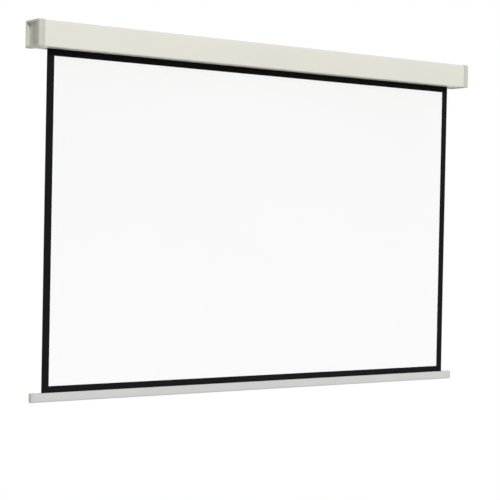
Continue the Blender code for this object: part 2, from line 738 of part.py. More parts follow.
def fabric_wraps(parent):
    """The turns of sheet that stay on the roller. They end at the back, where the sheet hangs down."""
    per_turn = 40
    count = WRAP_TURNS * per_turn
    gap = math.asin(CLEAR / 2 / EXIT_RADIUS)
    inner = []
    outer = []
    for i in range(count + 1):
        angle = gap + (2 * math.pi * WRAP_TURNS - 2 * gap) * i / count
        radius = EXIT_RADIUS - WRAP_PITCH * angle / (2 * math.pi)
        way = Vector((math.cos(angle), math.sin(angle)))
        inner.append(way * (radius - FABRIC_THICK / 2))
        outer.append(way * (radius + FABRIC_THICK / 2))
    wraps = prism(outer + inner[::-1], -FABRIC_HALF, FABRIC_HALF)
    return on_axis("fabric_wraps", wraps, FINISH["backing"], parent=parent)


def fixing_tape(parent):
    """The tape that holds the sheet's end to the tube."""
    low = TUBE_RADIUS + CLEAR
    high = low + TAPE_THICK
    half = TAPE_WIDTH / 2 / low
    steps = 8
    ways = []
    for i in range(steps + 1):
        angle = half - 2 * half * i / steps
        ways.append(Vector((math.cos(angle), math.sin(angle))))
    loop = [way * high for way in ways] + [way * low for way in ways[::-1]]
    return on_axis("fixing_tape", prism(loop, -FABRIC_HALF, FABRIC_HALF), FINISH["nylon"], parent=parent)


def pawl(name, turn_deg, parent):
    """A pawl on its riveted pin, drawn swung out. It swings in by the angle between its two reaches."""
    turn = Matrix.Rotation(math.radians(turn_deg), 3, "X")
    offset = turn @ Vector((0, 0, PAWL_CIRCLE))
    place = Vector((0, ROLLER_Y, ROLLER_Z)) + offset
    axis = empty(f"{name}_axis", place, parent)
    bm = prism(pawl_outline(arm_angle(PAWL_OUT)), -PAWL_FAR, -PAWL_NEAR)
    bm.transform(turn.to_4x4())
    arm = piece(name, bm, FINISH["steel"], place, axis)
    at = place - Vector((PAWL_NEAR, 0, 0))
    hole(f"{name}_eye", arm, at, (1, 0, 0), PAWL_PIN_RADIUS + CLEAR, 4 * PAWL_THICK, 16)
    head_near = PAWL_FAR + CLEAR
    head_far = head_near + PAWL_PIN_HEAD
    root = TUBE_HALF + 2 * CLEAR
    profile = (
        (-head_far, 0),
        (-head_far, 2 * PAWL_PIN_RADIUS),
        (-head_near, 2 * PAWL_PIN_RADIUS),
        (-head_near, PAWL_PIN_RADIUS),
        (-root, PAWL_PIN_RADIUS),
        (-root, 0),
    )
    piece(f"{name}_pin", turned(profile, 14), FINISH["zinc"], place, parent)
    return place


def roller(parent):
    on_axis("roller_tube", tube(TUBE_BORE, TUBE_RADIUS, -TUBE_HALF, TUBE_HALF), FINISH["tube"], parent=parent)
    spring_plug = end_plug("spring_end_plug", -1, ROD_BORE, parent)
    for name, turn_deg in (("pawl_a", 0), ("pawl_b", 180)):
        place = pawl(name, turn_deg, parent)
        at = (-PLUG_FACE, place.y, place.z)
        hole(f"{name}_pin_seat", spring_plug, at, (1, 0, 0), PAWL_PIN_RADIUS + CLEAR, 2 * PLUG_FLANGE, 16)
    end_plug("idle_end_plug", 1, ROD_BORE, parent)
    idle_pin(parent)
    guide = tube(ROD_BORE, TUBE_BORE - CLEAR, -GUIDE_NEAR, -GUIDE_FAR, 32)
    on_axis("rod_guide", guide, FINISH["nylon"], parent=parent)
    fixing_tape(parent)
    fabric_wraps(parent)


def screen_fabric(parent):
    """The hanging sheet: white picture area, black border, grey back."""
    top = ROLLER_Z - CLEAR / 2
    bottom = CHANNEL_Z + SLEEVE_RADIUS + CLEAR
    half = FABRIC_THICK / 2
    base = SLAT_TOP
    bm = box((-FABRIC_HALF, FABRIC_HALF), (-half, half), (bottom - base, top - base))
    lines = [((x, 0, 0), (1, 0, 0)) for x in (-IMAGE_WIDTH / 2, IMAGE_WIDTH / 2)]
    lines += [((0, 0, z), (0, 0, 1)) for z in (BORDER, BORDER + IMAGE_HEIGHT)]
    for place, normal in lines:
        geometry = list(bm.verts) + list(bm.edges) + list(bm.faces)
        bmesh.ops.bisect_plane(bm, geom=geometry, plane_co=place, plane_no=normal)
    for face in bm.faces:
        middle = face.calc_center_median()
        pictured = abs(middle.x) < IMAGE_WIDTH / 2 and BORDER < middle.z < BORDER + IMAGE_HEIGHT
        if face.normal.y > 0.5:
            face.material_index = 2
        elif not pictured:
            face.material_index = 1
    sheet = piece("screen_fabric", bm, FINISH["sheet"], (0, FABRIC_Y, base), parent)
    sheet.data.materials.append(FINISH["mask"])
    sheet.data.materials.append(FINISH["backing"])
    return sheet


def slat_outline(grow=0.0):
    radii = (SLAT_BOTTOM_ROUND, SLAT_TOP_ROUND, SLAT_TOP_ROUND, SLAT_BOTTOM_ROUND)
    half = SLAT_DEPTH / 2
    return rounded(-half, half, -SLAT_HEIGHT, 0, radii, grow)


def hollow_outline(grow=0.0):
    half = SLAT_DEPTH / 2 - SLAT_WALL
    low = HOLLOW_BOTTOM - SLAT_TOP
    high = HOLLOW_TOP - SLAT_TOP
    under = SLAT_BOTTOM_ROUND - SLAT_WALL
    return rounded(-half, half, low, high, (under, SLAT_WALL, SLAT_WALL, under), grow)


def bottom_slat(parent):
    """The extrusion: a keyhole channel for the sheet's hem over an open hollow."""
    origin = (0, FABRIC_Y, SLAT_TOP)
    body = prism(slat_outline(), -SLAT_BODY_HALF, SLAT_BODY_HALF)
    slat = piece("bottom_slat", body, FINISH["slat"], origin, parent)
    reach = SLAT_BODY_HALF + PAST
    hollow = piece("slat_hollow", prism(hollow_outline(), -reach, reach), FINISH["slat"], origin, parent)
    cut(slat, hollow)
    middle = CHANNEL_Z - SLAT_TOP
    slot = box((-reach, reach), (-SLAT_SLOT / 2, SLAT_SLOT / 2), (middle, PAST))
    cut(slat, piece("slat_slot", slot, FINISH["slat"], origin, parent))
    channel = rod(-reach, reach, CHANNEL_RADIUS, 24)
    cut(slat, piece("slat_channel", channel, FINISH["slat"], (0, FABRIC_Y, CHANNEL_Z), parent))
    for side in (-1, 1):
        at = (side * GRIP_SCREW_SPREAD / 2, SLAT_BACK, SLAT_TOP - GRIP_SCREW_DOWN)
        name = f"slat_screw_hole_{side_name(side)}"
        hole(name, slat, at, (0, 1, 0), GRIP_SCREW_RADIUS + CLEAR, 4 * SLAT_WALL, 16)
    return slat


def slat_cap(side, parent):
    """A moulded plug whose flange closes the slat's end."""
    near = SLAT_BODY_HALF + CLEAR
    bm = prism(slat_outline(), side * near, side * SLAT_HALF)
    end = max(bm.faces, key=lambda face: side * face.calc_center_median().x)
    bmesh.ops.bevel(bm, geom=list(end.edges), offset=SLAT_CAP_ROUND, segments=2, profile=0.5, affect="EDGES")
    origin = (0, FABRIC_Y, SLAT_TOP)
    name = side_name(side)
    cap = piece(f"slat_cap_{name}", bm, FINISH["cap"], origin, parent)
    inner = side * (SLAT_BODY_HALF - SLAT_CAP_SPIGOT)
    spigot = prism(hollow_outline(-CLEAR), inner, side * (near + SLAT_CAP / 2))
    fuse(cap, piece(f"slat_spigot_{name}", spigot, FINISH["cap"], origin, parent))
    return cap


def sheet_hem(parent):
    """The rod in the sheet's hem, and the hem's sleeve round it, both held in the slat's channel."""
    at = (0, FABRIC_Y, CHANNEL_Z)
    piece("hem_rod", rod(-FABRIC_HALF, FABRIC_HALF, HEM_ROD_RADIUS, 16), FINISH["nylon"], at, parent)
    inner = SLEEVE_RADIUS - FABRIC_THICK
    piece("hem_sleeve", tube(inner, SLEEVE_RADIUS, -FABRIC_HALF, FABRIC_HALF, 24), FINISH["mask"], at, parent)


def pull_grip(parent):
    """A J of moulded plastic screwed to the slat's back, for fingers that pull the screen down."""
    face = SLAT_BACK + CLEAR
    lip = face + GRIP_REACH
    floor = SLAT_BOTTOM
    path = ((lip, floor + GRIP_LIP), (lip, floor), (face, floor), (face, SLAT_TOP - GRIP_BELOW_TOP))
    loop = [(y, z - SLAT_TOP) for y, z in strip(path, (GRIP_BEND, GRIP_BEND), GRIP_THICK)]
    half = GRIP_WIDTH / 2
    grip = piece("pull_grip", prism(loop, -half, half), FINISH["cap"], (0, 0, SLAT_TOP), parent)
    for side in (-1, 1):
        name = side_name(side)
        x = side * GRIP_SCREW_SPREAD / 2
        z = SLAT_TOP - GRIP_SCREW_DOWN
        bore = GRIP_SCREW_RADIUS + CLEAR
        hole(f"grip_hole_{name}", grip, (x, face, z), (0, 1, 0), bore, 4 * GRIP_THICK, 16)
        at = (x, face + GRIP_THICK + CLEAR, z)
        made = (GRIP_SCREW_RADIUS, GRIP_SCREW_LENGTH, FINISH["zinc"])
        screw(f"grip_screw_{name}", *made, at, (0, 1, 0), parent)
    return grip


clear_scene()

FINISH = {
    "case": material("cream_painted_steel", (0.77, 0.75, 0.67), 0.42),
    "cap": material("light_grey_plastic", (0.59, 0.58, 0.50), 0.48),
    "steel": material("bright_steel", (0.50, 0.50, 0.51), 0.35, 1.0),
    "zinc": material("zinc_plated_steel", (0.62, 0.62, 0.60), 0.38, 1.0),
    "spring": material("spring_steel", (0.26, 0.25, 0.25), 0.40, 1.0),
    "tube": material("drawn_aluminium", (0.72, 0.72, 0.73), 0.34, 1.0),
    "nylon": material("natural_nylon", (0.74, 0.72, 0.66), 0.50),
    "sheet": material("matt_white_sheet", (0.94, 0.94, 0.94), 0.90),
    "mask": material("black_mask", (0.012, 0.012, 0.013), 0.85),
    "backing": material("grey_backing", (0.10, 0.10, 0.105), 0.85),
    "slat": material("painted_slat", (0.61, 0.61, 0.60), 0.36),
}

case_panels()
for end in (-1, 1):
    end_cap(end)
    bearing_bracket(end)
    end_fasteners(end)
    wall_bracket(end)
fixed_rod()
lock_disc()
spring_anchor()
torsion_spring()
idle_bush()

roller_axis = empty("roller_axis", (0, ROLLER_Y, ROLLER_Z))
roller(roller_axis)

slat_slide = empty("slat_slide", (0, FABRIC_Y, SLAT_TOP))
screen_fabric(slat_slide)
bottom_slat(slat_slide)
sheet_hem(slat_slide)
pull_grip(slat_slide)
for end in (-1, 1):
    slat_cap(end, slat_slide)

print(f"travel {TRAVEL:.6f} m, roller turns {1 / EXIT_RADIUS:.5f} rad per m about +X")
print(f"pawls swing in by {math.degrees(arm_angle(PAWL_OUT) - arm_angle(PAWL_IN)):.3f} degrees about +X")
print(f"roller axis y {ROLLER_Y:.6f}, z {ROLLER_Z:.6f}; sheet y {FABRIC_Y:.6f}; slat top {SLAT_TOP:.6f}")
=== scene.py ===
import json
import math

import bmesh
import bpy
from mathutils import Matrix, Vector


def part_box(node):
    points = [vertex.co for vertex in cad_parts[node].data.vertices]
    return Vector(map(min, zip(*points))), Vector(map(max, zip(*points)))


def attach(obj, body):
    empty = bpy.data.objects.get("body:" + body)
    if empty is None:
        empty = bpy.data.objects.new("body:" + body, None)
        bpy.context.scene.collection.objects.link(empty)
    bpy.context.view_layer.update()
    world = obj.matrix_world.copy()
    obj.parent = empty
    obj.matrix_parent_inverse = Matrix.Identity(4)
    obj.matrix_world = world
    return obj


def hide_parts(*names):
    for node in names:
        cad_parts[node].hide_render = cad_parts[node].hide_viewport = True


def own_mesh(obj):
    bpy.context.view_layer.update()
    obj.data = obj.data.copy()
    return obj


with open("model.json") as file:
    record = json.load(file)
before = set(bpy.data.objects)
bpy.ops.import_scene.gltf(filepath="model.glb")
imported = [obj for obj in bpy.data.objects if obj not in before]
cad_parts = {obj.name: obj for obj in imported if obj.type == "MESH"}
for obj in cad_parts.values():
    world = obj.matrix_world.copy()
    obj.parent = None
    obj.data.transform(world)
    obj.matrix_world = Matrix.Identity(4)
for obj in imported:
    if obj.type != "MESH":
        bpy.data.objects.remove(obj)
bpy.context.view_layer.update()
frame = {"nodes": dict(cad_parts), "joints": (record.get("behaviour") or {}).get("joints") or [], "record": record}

nodes = frame["nodes"]
bodyOf = {}
for bodyName, memberNames in frame["record"]["behaviour"]["bodies"].items():
    for memberName in memberNames:
        bodyOf[memberName] = bodyName
print(f"frame: {len(nodes)} nodes loaded")


def objectMode():
    bpy.ops.object.mode_set(mode="OBJECT")


def deselectAll():
    if bpy.context.object and bpy.context.object.mode != "OBJECT":
        objectMode()
    bpy.ops.object.select_all(action="DESELECT")


def choose(piece):
    deselectAll()
    piece.select_set(True)
    bpy.context.view_layer.objects.active = piece


def applyPlace(piece):
    choose(piece)
    bpy.ops.object.transform_apply(location=True, rotation=True, scale=True)


def named(name):
    piece = bpy.context.object
    piece.name = name
    piece.data.name = name
    applyPlace(piece)
    return piece


def block(name, low, high):
    # a cube drawn between two corners, ready to be shaped
    deselectAll()
    low, high = Vector(low), Vector(high)
    bpy.ops.mesh.primitive_cube_add(size=1, location=(low + high) / 2, scale=high - low)
    return named(name)


def barrel(name, start, end, radius, sides):
    # a cylinder from one point to another
    deselectAll()
    start, end = Vector(start), Vector(end)
    turn = (end - start).to_track_quat("Z", "Y").to_euler()
    bpy.ops.mesh.primitive_cylinder_add(
        vertices=sides, radius=radius, depth=(end - start).length, location=(start + end) / 2, rotation=turn)
    return named(name)


def editing(piece):
    if piece.mode != "EDIT":
        choose(piece)
        bpy.ops.object.mode_set(mode="EDIT")


def pick(piece, kind, test):
    # selects corners, edges or faces by a test on the middle of each and on its own data
    editing(piece)
    bpy.ops.mesh.select_mode(type=kind)
    bpy.ops.mesh.select_all(action="DESELECT")
    drawing = bmesh.from_edit_mesh(piece.data)
    drawing.normal_update()
    for item in {"VERT": drawing.verts, "EDGE": drawing.edges, "FACE": drawing.faces}[kind]:
        corners = [item] if kind == "VERT" else item.verts
        middle = sum((corner.co for corner in corners), Vector()) / len(corners)
        if test(middle, item):
            item.select_set(True)
    bmesh.update_edit_mesh(piece.data)


def along(edge, axis):
    # whether an edge runs along an axis
    way = edge.verts[1].co - edge.verts[0].co
    return abs(way[axis]) > 0.999 * way.length


def near(value, wanted, within=1e-5):
    return abs(value - wanted) < within


def nearEither(value, first, second):
    return near(value, first) or near(value, second)


def roundEdges(piece, test, radius, steps=8):
    pick(piece, "EDGE", test)
    bpy.ops.mesh.bevel(offset=radius, segments=steps, profile=0.5, affect="EDGES")


def roundRim(piece, test, radius, steps=5):
    # rounds the outline of the faces that pass a test
    pick(piece, "FACE", test)
    bpy.ops.mesh.region_to_loop()
    bpy.ops.mesh.bevel(offset=radius, segments=steps, profile=0.5, affect="EDGES")


def extrudeBy(offset):
    bpy.ops.mesh.extrude_region_move(TRANSFORM_OT_translate={"value": offset})


def applyModifier(piece, kind, **settings):
    choose(piece)
    modifier = piece.modifiers.new(kind.lower(), kind)
    for key, value in settings.items():
        setattr(modifier, key, value)
    bpy.ops.object.modifier_apply(modifier=modifier.name)


def breakEdges(piece, width, steps=2):
    # a small bevel on every edge sharper than 50 degrees
    applyModifier(piece, "BEVEL", width=width, segments=steps, limit_method="ANGLE",
                  angle_limit=math.radians(50))


def carve(piece, tool, operation="DIFFERENCE"):
    applyModifier(piece, "BOOLEAN", operation=operation, solver="EXACT", object=tool)
    bpy.data.objects.remove(tool, do_unlink=True)


def drill(piece, start, end, radius, sides=24):
    carve(piece, barrel("drill", start, end, radius, sides))


def mergeCorners(piece):
    editing(piece)
    bpy.ops.mesh.select_all(action="SELECT")
    bpy.ops.mesh.remove_doubles(threshold=1e-6)


def tidyMesh(piece):
    mergeCorners(piece)
    bpy.ops.mesh.normals_make_consistent(inside=False)
    objectMode()


def smoothen(piece, angle):
    choose(piece)
    bpy.ops.object.shade_smooth_by_angle(angle=math.radians(angle))


def complete(piece, finish, slotName, bodyName, *standsFor, angle=32):
    # gives a finished piece its shading, finish and carrier
    smoothen(piece, angle)
    if finish:
        piece.data.materials.clear()
        piece.data.materials.append(finish)
    if standsFor:
        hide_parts(*standsFor)
    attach(piece, bodyName)
    return piece


def copyAt(master, name, seat, facing):
    # a copy with its own mesh, whose +Z is turned to a direction
    piece = master.copy()
    piece.data = master.data.copy()
    piece.name = name
    piece.data.name = name
    bpy.context.scene.collection.objects.link(piece)
    piece.rotation_euler = Vector(facing).to_track_quat("Z", "Y").to_euler()
    piece.location = seat
    applyPlace(piece)
    return piece


def middleOf(node):
    low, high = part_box(node)
    return (low + high) / 2


class Value:
    # wraps a socket, so that sums on it add Math nodes
    def __init__(self, graph, socket):
        self.graph = graph
        self.socket = socket

    def combine(self, operation, first, second):
        return self.graph.node("ShaderNodeMath", {"operation": operation}, {0: first, 1: second})

    def __add__(self, other):
        return self.combine("ADD", self, other)

    def __radd__(self, other):
        return self.combine("ADD", other, self)

    def __rsub__(self, other):
        return self.combine("SUBTRACT", other, self)

    def __mul__(self, other):
        return self.combine("MULTIPLY", self, other)

    def __rmul__(self, other):
        return self.combine("MULTIPLY", other, self)

    def clamp(self):
        return self.graph.node("ShaderNodeClamp", {}, {"Value": self})


class Graph:
    def __init__(self, tree):
        self.tree = tree

    def feed(self, socket, value):
        if isinstance(value, Value):
            self.tree.links.new(value.socket, socket)
        else:
            socket.default_value = value

    def node(self, kind, settings=None, inputs=None, output=0):
        made = self.tree.nodes.new(kind)
        for key, value in (settings or {}).items():
            setattr(made, key, value)
        for key, value in (inputs or {}).items():
            self.feed(made.inputs[key], value)
        return Value(self, made.outputs[output])

    def component(self, point, axis):
        return self.node("ShaderNodeSeparateXYZ", {}, {0: point}, axis)


class Finish(Graph):
    def __init__(self, name, **uniform):
        self.material = bpy.data.materials.new(name)
        self.material.use_nodes = True
        super().__init__(self.material.node_tree)
        self.shader = self.tree.nodes["Principled BSDF"]
        for key, value in uniform.items():
            self.shader.inputs[key.replace("_", " ")].default_value = value

    def place(self, scale=(1, 1, 1), source="Object"):
        # a point in metres on the piece, stretched where a pattern runs one way
        point = self.node("ShaderNodeTexCoord", {}, {}, source)
        return self.node("ShaderNodeMapping", {}, {"Vector": point, "Scale": scale})

    def noise(self, place, scale, detail, rough=0.5):
        return self.node("ShaderNodeTexNoise", {}, {
            "Vector": place, "Scale": scale, "Detail": detail, "Roughness": rough})

    def cells(self, place, scale, output="Distance"):
        return self.node("ShaderNodeTexVoronoi", {}, {"Vector": place, "Scale": scale}, output)

    def ramp(self, value, low, high, lowLevel=0.0, highLevel=1.0):
        return self.node("ShaderNodeMapRange", {}, {
            "Value": value, "From Min": low, "From Max": high, "To Min": lowLevel, "To Max": highLevel})

    def mix(self, factor, first, second):
        colours = [c if isinstance(c, Value) else (*c, 1) for c in (first, second)]
        return self.node("ShaderNodeMix", {"data_type": "RGBA"}, {0: factor, 6: colours[0], 7: colours[1]}, 2)

    def bump(self, height, depth, strength=1.0):
        normal = self.node("ShaderNodeBump", {}, {"Height": height, "Distance": depth, "Strength": strength})
        self.feed(self.shader.inputs["Normal"], normal)

    def paint(self, colour, roughness):
        self.feed(self.shader.inputs["Base Color"], colour)
        self.feed(self.shader.inputs["Roughness"], roughness)
        return self.material


def creamCoatFinish():
    # powder coat on steel: a fine orange peel, a little uneven in tone
    look = {"tone": (0.772, 0.753, 0.677), "deep": (0.748, 0.728, 0.650), "dust": (0.70, 0.685, 0.63),
            "peel": 620, "peelDepth": 0.00006, "patch": 2.2, "gloss": 0.40, "settled": 24, "smear": 18}
    finish = Finish("creamPowderCoat", Specular_IOR_Level=0.42, Coat_Weight=0.4, Coat_Roughness=0.14)
    place = finish.place()
    patch = finish.ramp(finish.noise(place, look["patch"], 3), 0.35, 0.65)
    colour = finish.mix(patch, look["tone"], look["deep"])
    upward = finish.component(finish.node("ShaderNodeNewGeometry", {}, {}, "Normal"), 2)
    dusty = finish.ramp(finish.noise(place, look["settled"], 6, 0.65), 0.42, 0.72, 0.0, 0.55)
    settled = finish.ramp(upward, 0.6, 1.0) * dusty
    colour = finish.mix(settled, colour, look["dust"])
    peel = finish.noise(place, look["peel"], 1.5) + 0.4 * finish.noise(place, look["peel"] * 2.7, 1)
    finish.bump(peel, look["peelDepth"], 0.55)
    smear = finish.ramp(finish.noise(place, look["smear"], 4), 0.3, 0.7, -0.03, 0.04)
    return finish.paint(colour, look["gloss"] + smear + 0.25 * settled)


def capPlasticFinish():
    # moulded light grey plastic with a spark-eroded grain
    look = {"tone": (0.600, 0.588, 0.510), "deep": (0.570, 0.558, 0.482), "grain": 1100, "depth": 0.00007,
            "cloud": 9, "speck": 300}
    finish = Finish("lightGreyPlastic", Specular_IOR_Level=0.45)
    place = finish.place()
    cloud = finish.ramp(finish.noise(place, look["cloud"], 4), 0.3, 0.7)
    colour = finish.mix(cloud, look["tone"], look["deep"])
    grain = finish.cells(place, look["grain"]) + 0.6 * finish.noise(place, look["grain"] * 1.7, 2)
    finish.bump(grain, look["depth"], 0.5)
    speck = finish.ramp(finish.noise(place, look["speck"], 2), 0.3, 0.7, 0.46, 0.56)
    return finish.paint(colour, speck)


def slatPaintFinish():
    # satin paint on an extrusion: faint lines along its length
    look = {"tone": (0.615, 0.615, 0.605), "deep": (0.580, 0.580, 0.573), "lines": 900, "stretch": 0.004,
            "patch": 5, "grain": 800, "depth": 0.00004}
    finish = Finish("slatSatinPaint", Specular_IOR_Level=0.45)
    drawn = finish.place((look["stretch"], 1, 1))
    place = finish.place()
    lines = finish.noise(drawn, look["lines"], 3)
    patch = finish.ramp(finish.noise(place, look["patch"], 3), 0.3, 0.7)
    colour = finish.mix(patch * 0.7 + 0.3 * lines, look["tone"], look["deep"])
    finish.bump(lines + 0.5 * finish.noise(place, look["grain"], 1), look["depth"], 0.5)
    return finish.paint(colour, finish.ramp(lines, 0.3, 0.7, 0.33, 0.43))


def weave(finish, size, threads):
    # over and under threads on the sheet's own map, in metres
    point = finish.place((*size, 1), "UV")
    waves = [finish.node("ShaderNodeMath", {"operation": "SINE"},
                         {0: finish.component(point, axis) * (threads * math.pi)}) for axis in (0, 1)]
    return point, waves[0] * waves[1]


def sheetFinish(name, tone, deep, size, rough):
    # coated projection cloth: a fine weave under a matt skin
    look = {"threads": 1300, "depth": 0.00005, "cloud": 1.6, "slub": 150, "spread": 0.05}
    finish = Finish(name, Specular_IOR_Level=0.08)
    point, woven = weave(finish, size, look["threads"])
    cloud = finish.ramp(finish.noise(point, look["cloud"], 3), 0.3, 0.7)
    slub = finish.noise(point, look["slub"], 3)
    colour = finish.mix(cloud * 0.6 + 0.4 * slub, tone, deep)
    finish.bump(woven * 0.5 + slub, look["depth"], 0.4)
    return finish.paint(colour, finish.ramp(slub, 0.2, 0.8, rough - look["spread"], rough + look["spread"]))


def pressedSteelFinish():
    # rolled sheet: a grain along one way, with faint stains
    look = {"tone": (0.56, 0.56, 0.57), "deep": (0.44, 0.44, 0.45), "grain": 700, "stretch": 0.02,
            "stain": 60, "depth": 0.00002}
    finish = Finish("pressedSteel", Metallic=1.0)
    place = finish.place()
    rolled = finish.noise(finish.place((1, 1, look["stretch"])), look["grain"], 3)
    stain = finish.ramp(finish.noise(place, look["stain"], 5, 0.6), 0.35, 0.75)
    finish.bump(rolled, look["depth"], 0.4)
    return finish.paint(finish.mix(stain * 0.6 + 0.4 * rolled, look["tone"], look["deep"]),
                        finish.ramp(rolled, 0.3, 0.7, 0.28, 0.42))


def zincFinish():
    # zinc plate: small spangle and a soft shine
    look = {"bright": (0.72, 0.72, 0.70), "dull": (0.52, 0.53, 0.54), "spangle": 260, "cloud": 90,
            "grain": 1500, "depth": 0.00002}
    finish = Finish("zincPlate", Metallic=1.0)
    place = finish.place()
    crystal = finish.node("ShaderNodeSeparateColor", {}, {0: finish.cells(place, look["spangle"], "Color")})
    cloud = finish.ramp(finish.noise(place, look["cloud"], 4), 0.3, 0.7)
    finish.bump(finish.noise(place, look["grain"], 2), look["depth"], 0.4)
    return finish.paint(finish.mix(crystal * 0.45 + 0.35 * cloud, look["bright"], look["dull"]),
                        0.26 + 0.16 * crystal + 0.06 * cloud)


def springFinish():
    # dark wire under a film of oil
    look = {"tone": (0.30, 0.29, 0.28), "deep": (0.17, 0.16, 0.155), "film": 130, "grain": 2600,
            "depth": 0.00002}
    finish = Finish("oiledSpringSteel", Metallic=1.0)
    place = finish.place()
    film = finish.ramp(finish.noise(place, look["film"], 5, 0.6), 0.3, 0.7)
    finish.bump(finish.noise(place, look["grain"], 2), look["depth"], 0.4)
    return finish.paint(finish.mix(film, look["tone"], look["deep"]), 0.30 + 0.14 * film)


def tubeFinish():
    # drawn aluminium: long die lines
    look = {"tone": (0.78, 0.78, 0.79), "deep": (0.64, 0.64, 0.65), "lines": 1400, "stretch": 0.003,
            "depth": 0.00002}
    finish = Finish("drawnAluminium", Metallic=1.0)
    lines = finish.noise(finish.place((look["stretch"], 1, 1)), look["lines"], 4)
    finish.bump(lines, look["depth"], 0.6)
    return finish.paint(finish.mix(lines, look["tone"], look["deep"]),
                        finish.ramp(lines, 0.3, 0.7, 0.24, 0.40))


def nylonFinish():
    # natural nylon, a little cloudy where it flowed
    look = {"tone": (0.78, 0.76, 0.69), "deep": (0.72, 0.69, 0.61), "flow": 70, "grain": 1800,
            "depth": 0.00003}
    finish = Finish("naturalNylon", Specular_IOR_Level=0.5)
    place = finish.place()
    flow = finish.ramp(finish.noise(place, look["flow"], 4, 0.6), 0.3, 0.7)
    finish.bump(finish.noise(place, look["grain"], 2), look["depth"], 0.4)
    return finish.paint(finish.mix(flow, look["tone"], look["deep"]), 0.40 + 0.12 * flow)


def tapeFinish():
    # brown tape with a fine crepe
    look = {"tone": (0.62, 0.50, 0.30), "deep": (0.54, 0.42, 0.24), "crepe": 900, "stretch": 0.3, "cloud": 12,
            "depth": 0.00005}
    finish = Finish("clothTape", Specular_IOR_Level=0.35)
    place = finish.place()
    crepe = finish.noise(finish.place((look["stretch"], 1, 1)), look["crepe"], 3)
    cloud = finish.ramp(finish.noise(place, look["cloud"], 3), 0.3, 0.7)
    finish.bump(crepe, look["depth"], 0.6)
    return finish.paint(finish.mix(cloud * 0.6 + 0.4 * crepe, look["tone"], look["deep"]),
                        0.55 + 0.1 * crepe)


creamCoat = creamCoatFinish()
capPlastic = capPlasticFinish()
slatPaint = slatPaintFinish()
pressedSteel = pressedSteelFinish()
zincPlate = zincFinish()
springSteel = springFinish()
tubeMetal = tubeFinish()
naturalNylon = nylonFinish()
clothTape = tapeFinish()
print("finishes: painted, moulded, plated and drawn surfaces made")


# the case body is one folded sheet, open along its underside
caseParts = ("case_front", "case_top_edge", "case_top", "case_back", "case_sill_front", "case_sill_rear")
caseBody = {"sheet": 0.001, "topRound": 0.006, "foldRound": 0.003, "hemRise": 0.004, "hemRound": 0.0016,
            "steps": 8, "hemSteps": 5, "drillIn": 0.003, "drillOut": 0.002, "screwHole": 0.0028,
            "rivetHole": 0.0019}
caseCorners = [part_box(part) for part in caseParts]
caseLow = Vector(min(corners[0][axis] for corners in caseCorners) for axis in range(3))
caseHigh = Vector(max(corners[1][axis] for corners in caseCorners) for axis in range(3))
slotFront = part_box("case_sill_front")[1].y
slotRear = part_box("case_sill_rear")[0].y


def slotEdge(at, edge):
    return along(edge, 0) and near(at.z, caseLow.z) and nearEither(at.y, slotFront, slotRear)


def makeCase():
    size = caseBody
    inward, outward = size["drillIn"], size["drillOut"]
    body = block("caseBody", caseLow, caseHigh)
    pick(body, "FACE", lambda at, face: abs(face.normal.x) > 0.9)
    bpy.ops.mesh.delete(type="FACE")
    for cutY in (slotFront, slotRear):
        pick(body, "FACE", lambda at, face: face.normal.z < -0.9)
        bpy.ops.mesh.bisect(plane_co=(0, cutY, 0), plane_no=(0, 1, 0))
    pick(body, "FACE", lambda at, face: near(at.z, caseLow.z) and slotFront < at.y < slotRear)
    bpy.ops.mesh.delete(type="FACE")
    pick(body, "EDGE", slotEdge)
    extrudeBy((0, 0, size["hemRise"]))
    roundEdges(body, lambda at, edge: along(edge, 0) and near(at.y, caseLow.y) and near(at.z, caseHigh.z),
               size["topRound"], size["steps"])
    roundEdges(body, lambda at, edge: along(edge, 0) and (
               near(at.y, caseHigh.y) and nearEither(at.z, caseLow.z, caseHigh.z)
               or near(at.y, caseLow.y) and near(at.z, caseLow.z)), size["foldRound"], size["steps"])
    roundEdges(body, slotEdge, size["hemRound"], size["hemSteps"])
    tidyMesh(body)
    applyModifier(body, "SOLIDIFY", thickness=size["sheet"], offset=-1)
    for sideName in ("left", "right"):
        for word in ("front", "rear"):
            at = middleOf(f"bracket_screw_{sideName}_{word}")
            drill(body, (at.x, at.y, caseHigh.z - inward), (at.x, at.y, caseHigh.z + outward),
                  size["screwHole"])
        for word in ("upper", "lower"):
            at = middleOf(f"bracket_rivet_{sideName}_{word}")
            drill(body, (at.x, caseHigh.y - inward, at.z), (at.x, caseHigh.y + outward, at.z),
                  size["rivetHole"])
    complete(body, creamCoat, "case_paint", "case", *caseParts)


makeCase()
print("case: folded body made")


# the end caps are moulded hoods with a deep sunk panel behind a broad front rim
endCap = {"edge": 0.0022, "fold": 0.0045, "topFold": 0.0075, "rim": 0.006, "frontRim": 0.018,
          "sunk": 0.0105, "sunkRound": 0.005, "floorFillet": 0.0015, "wall": 0.014, "hood": 0.020,
          "past": 0.004, "fit": 0.0003, "pocketTopFold": 0.0063, "pocketFold": 0.0033, "screwSeat": 0.0045,
          "seatDeep": 0.012, "screwHole": 0.0023, "holeDeep": 0.020, "holeOut": 0.010, "lip": 0.0005}


def longEdges(piece, low, high, frontTop, others):
    # rounds the four edges along X of a block, the upper front one by its own radius
    roundEdges(piece, lambda at, edge: along(edge, 0) and near(at.y, low.y) and near(at.z, high.z), frontTop)
    roundEdges(piece, lambda at, edge: along(edge, 0) and (near(at.y, high.y) or near(at.z, low.z))
               and nearEither(at.y, low.y, high.y) and nearEither(at.z, low.z, high.z), others)


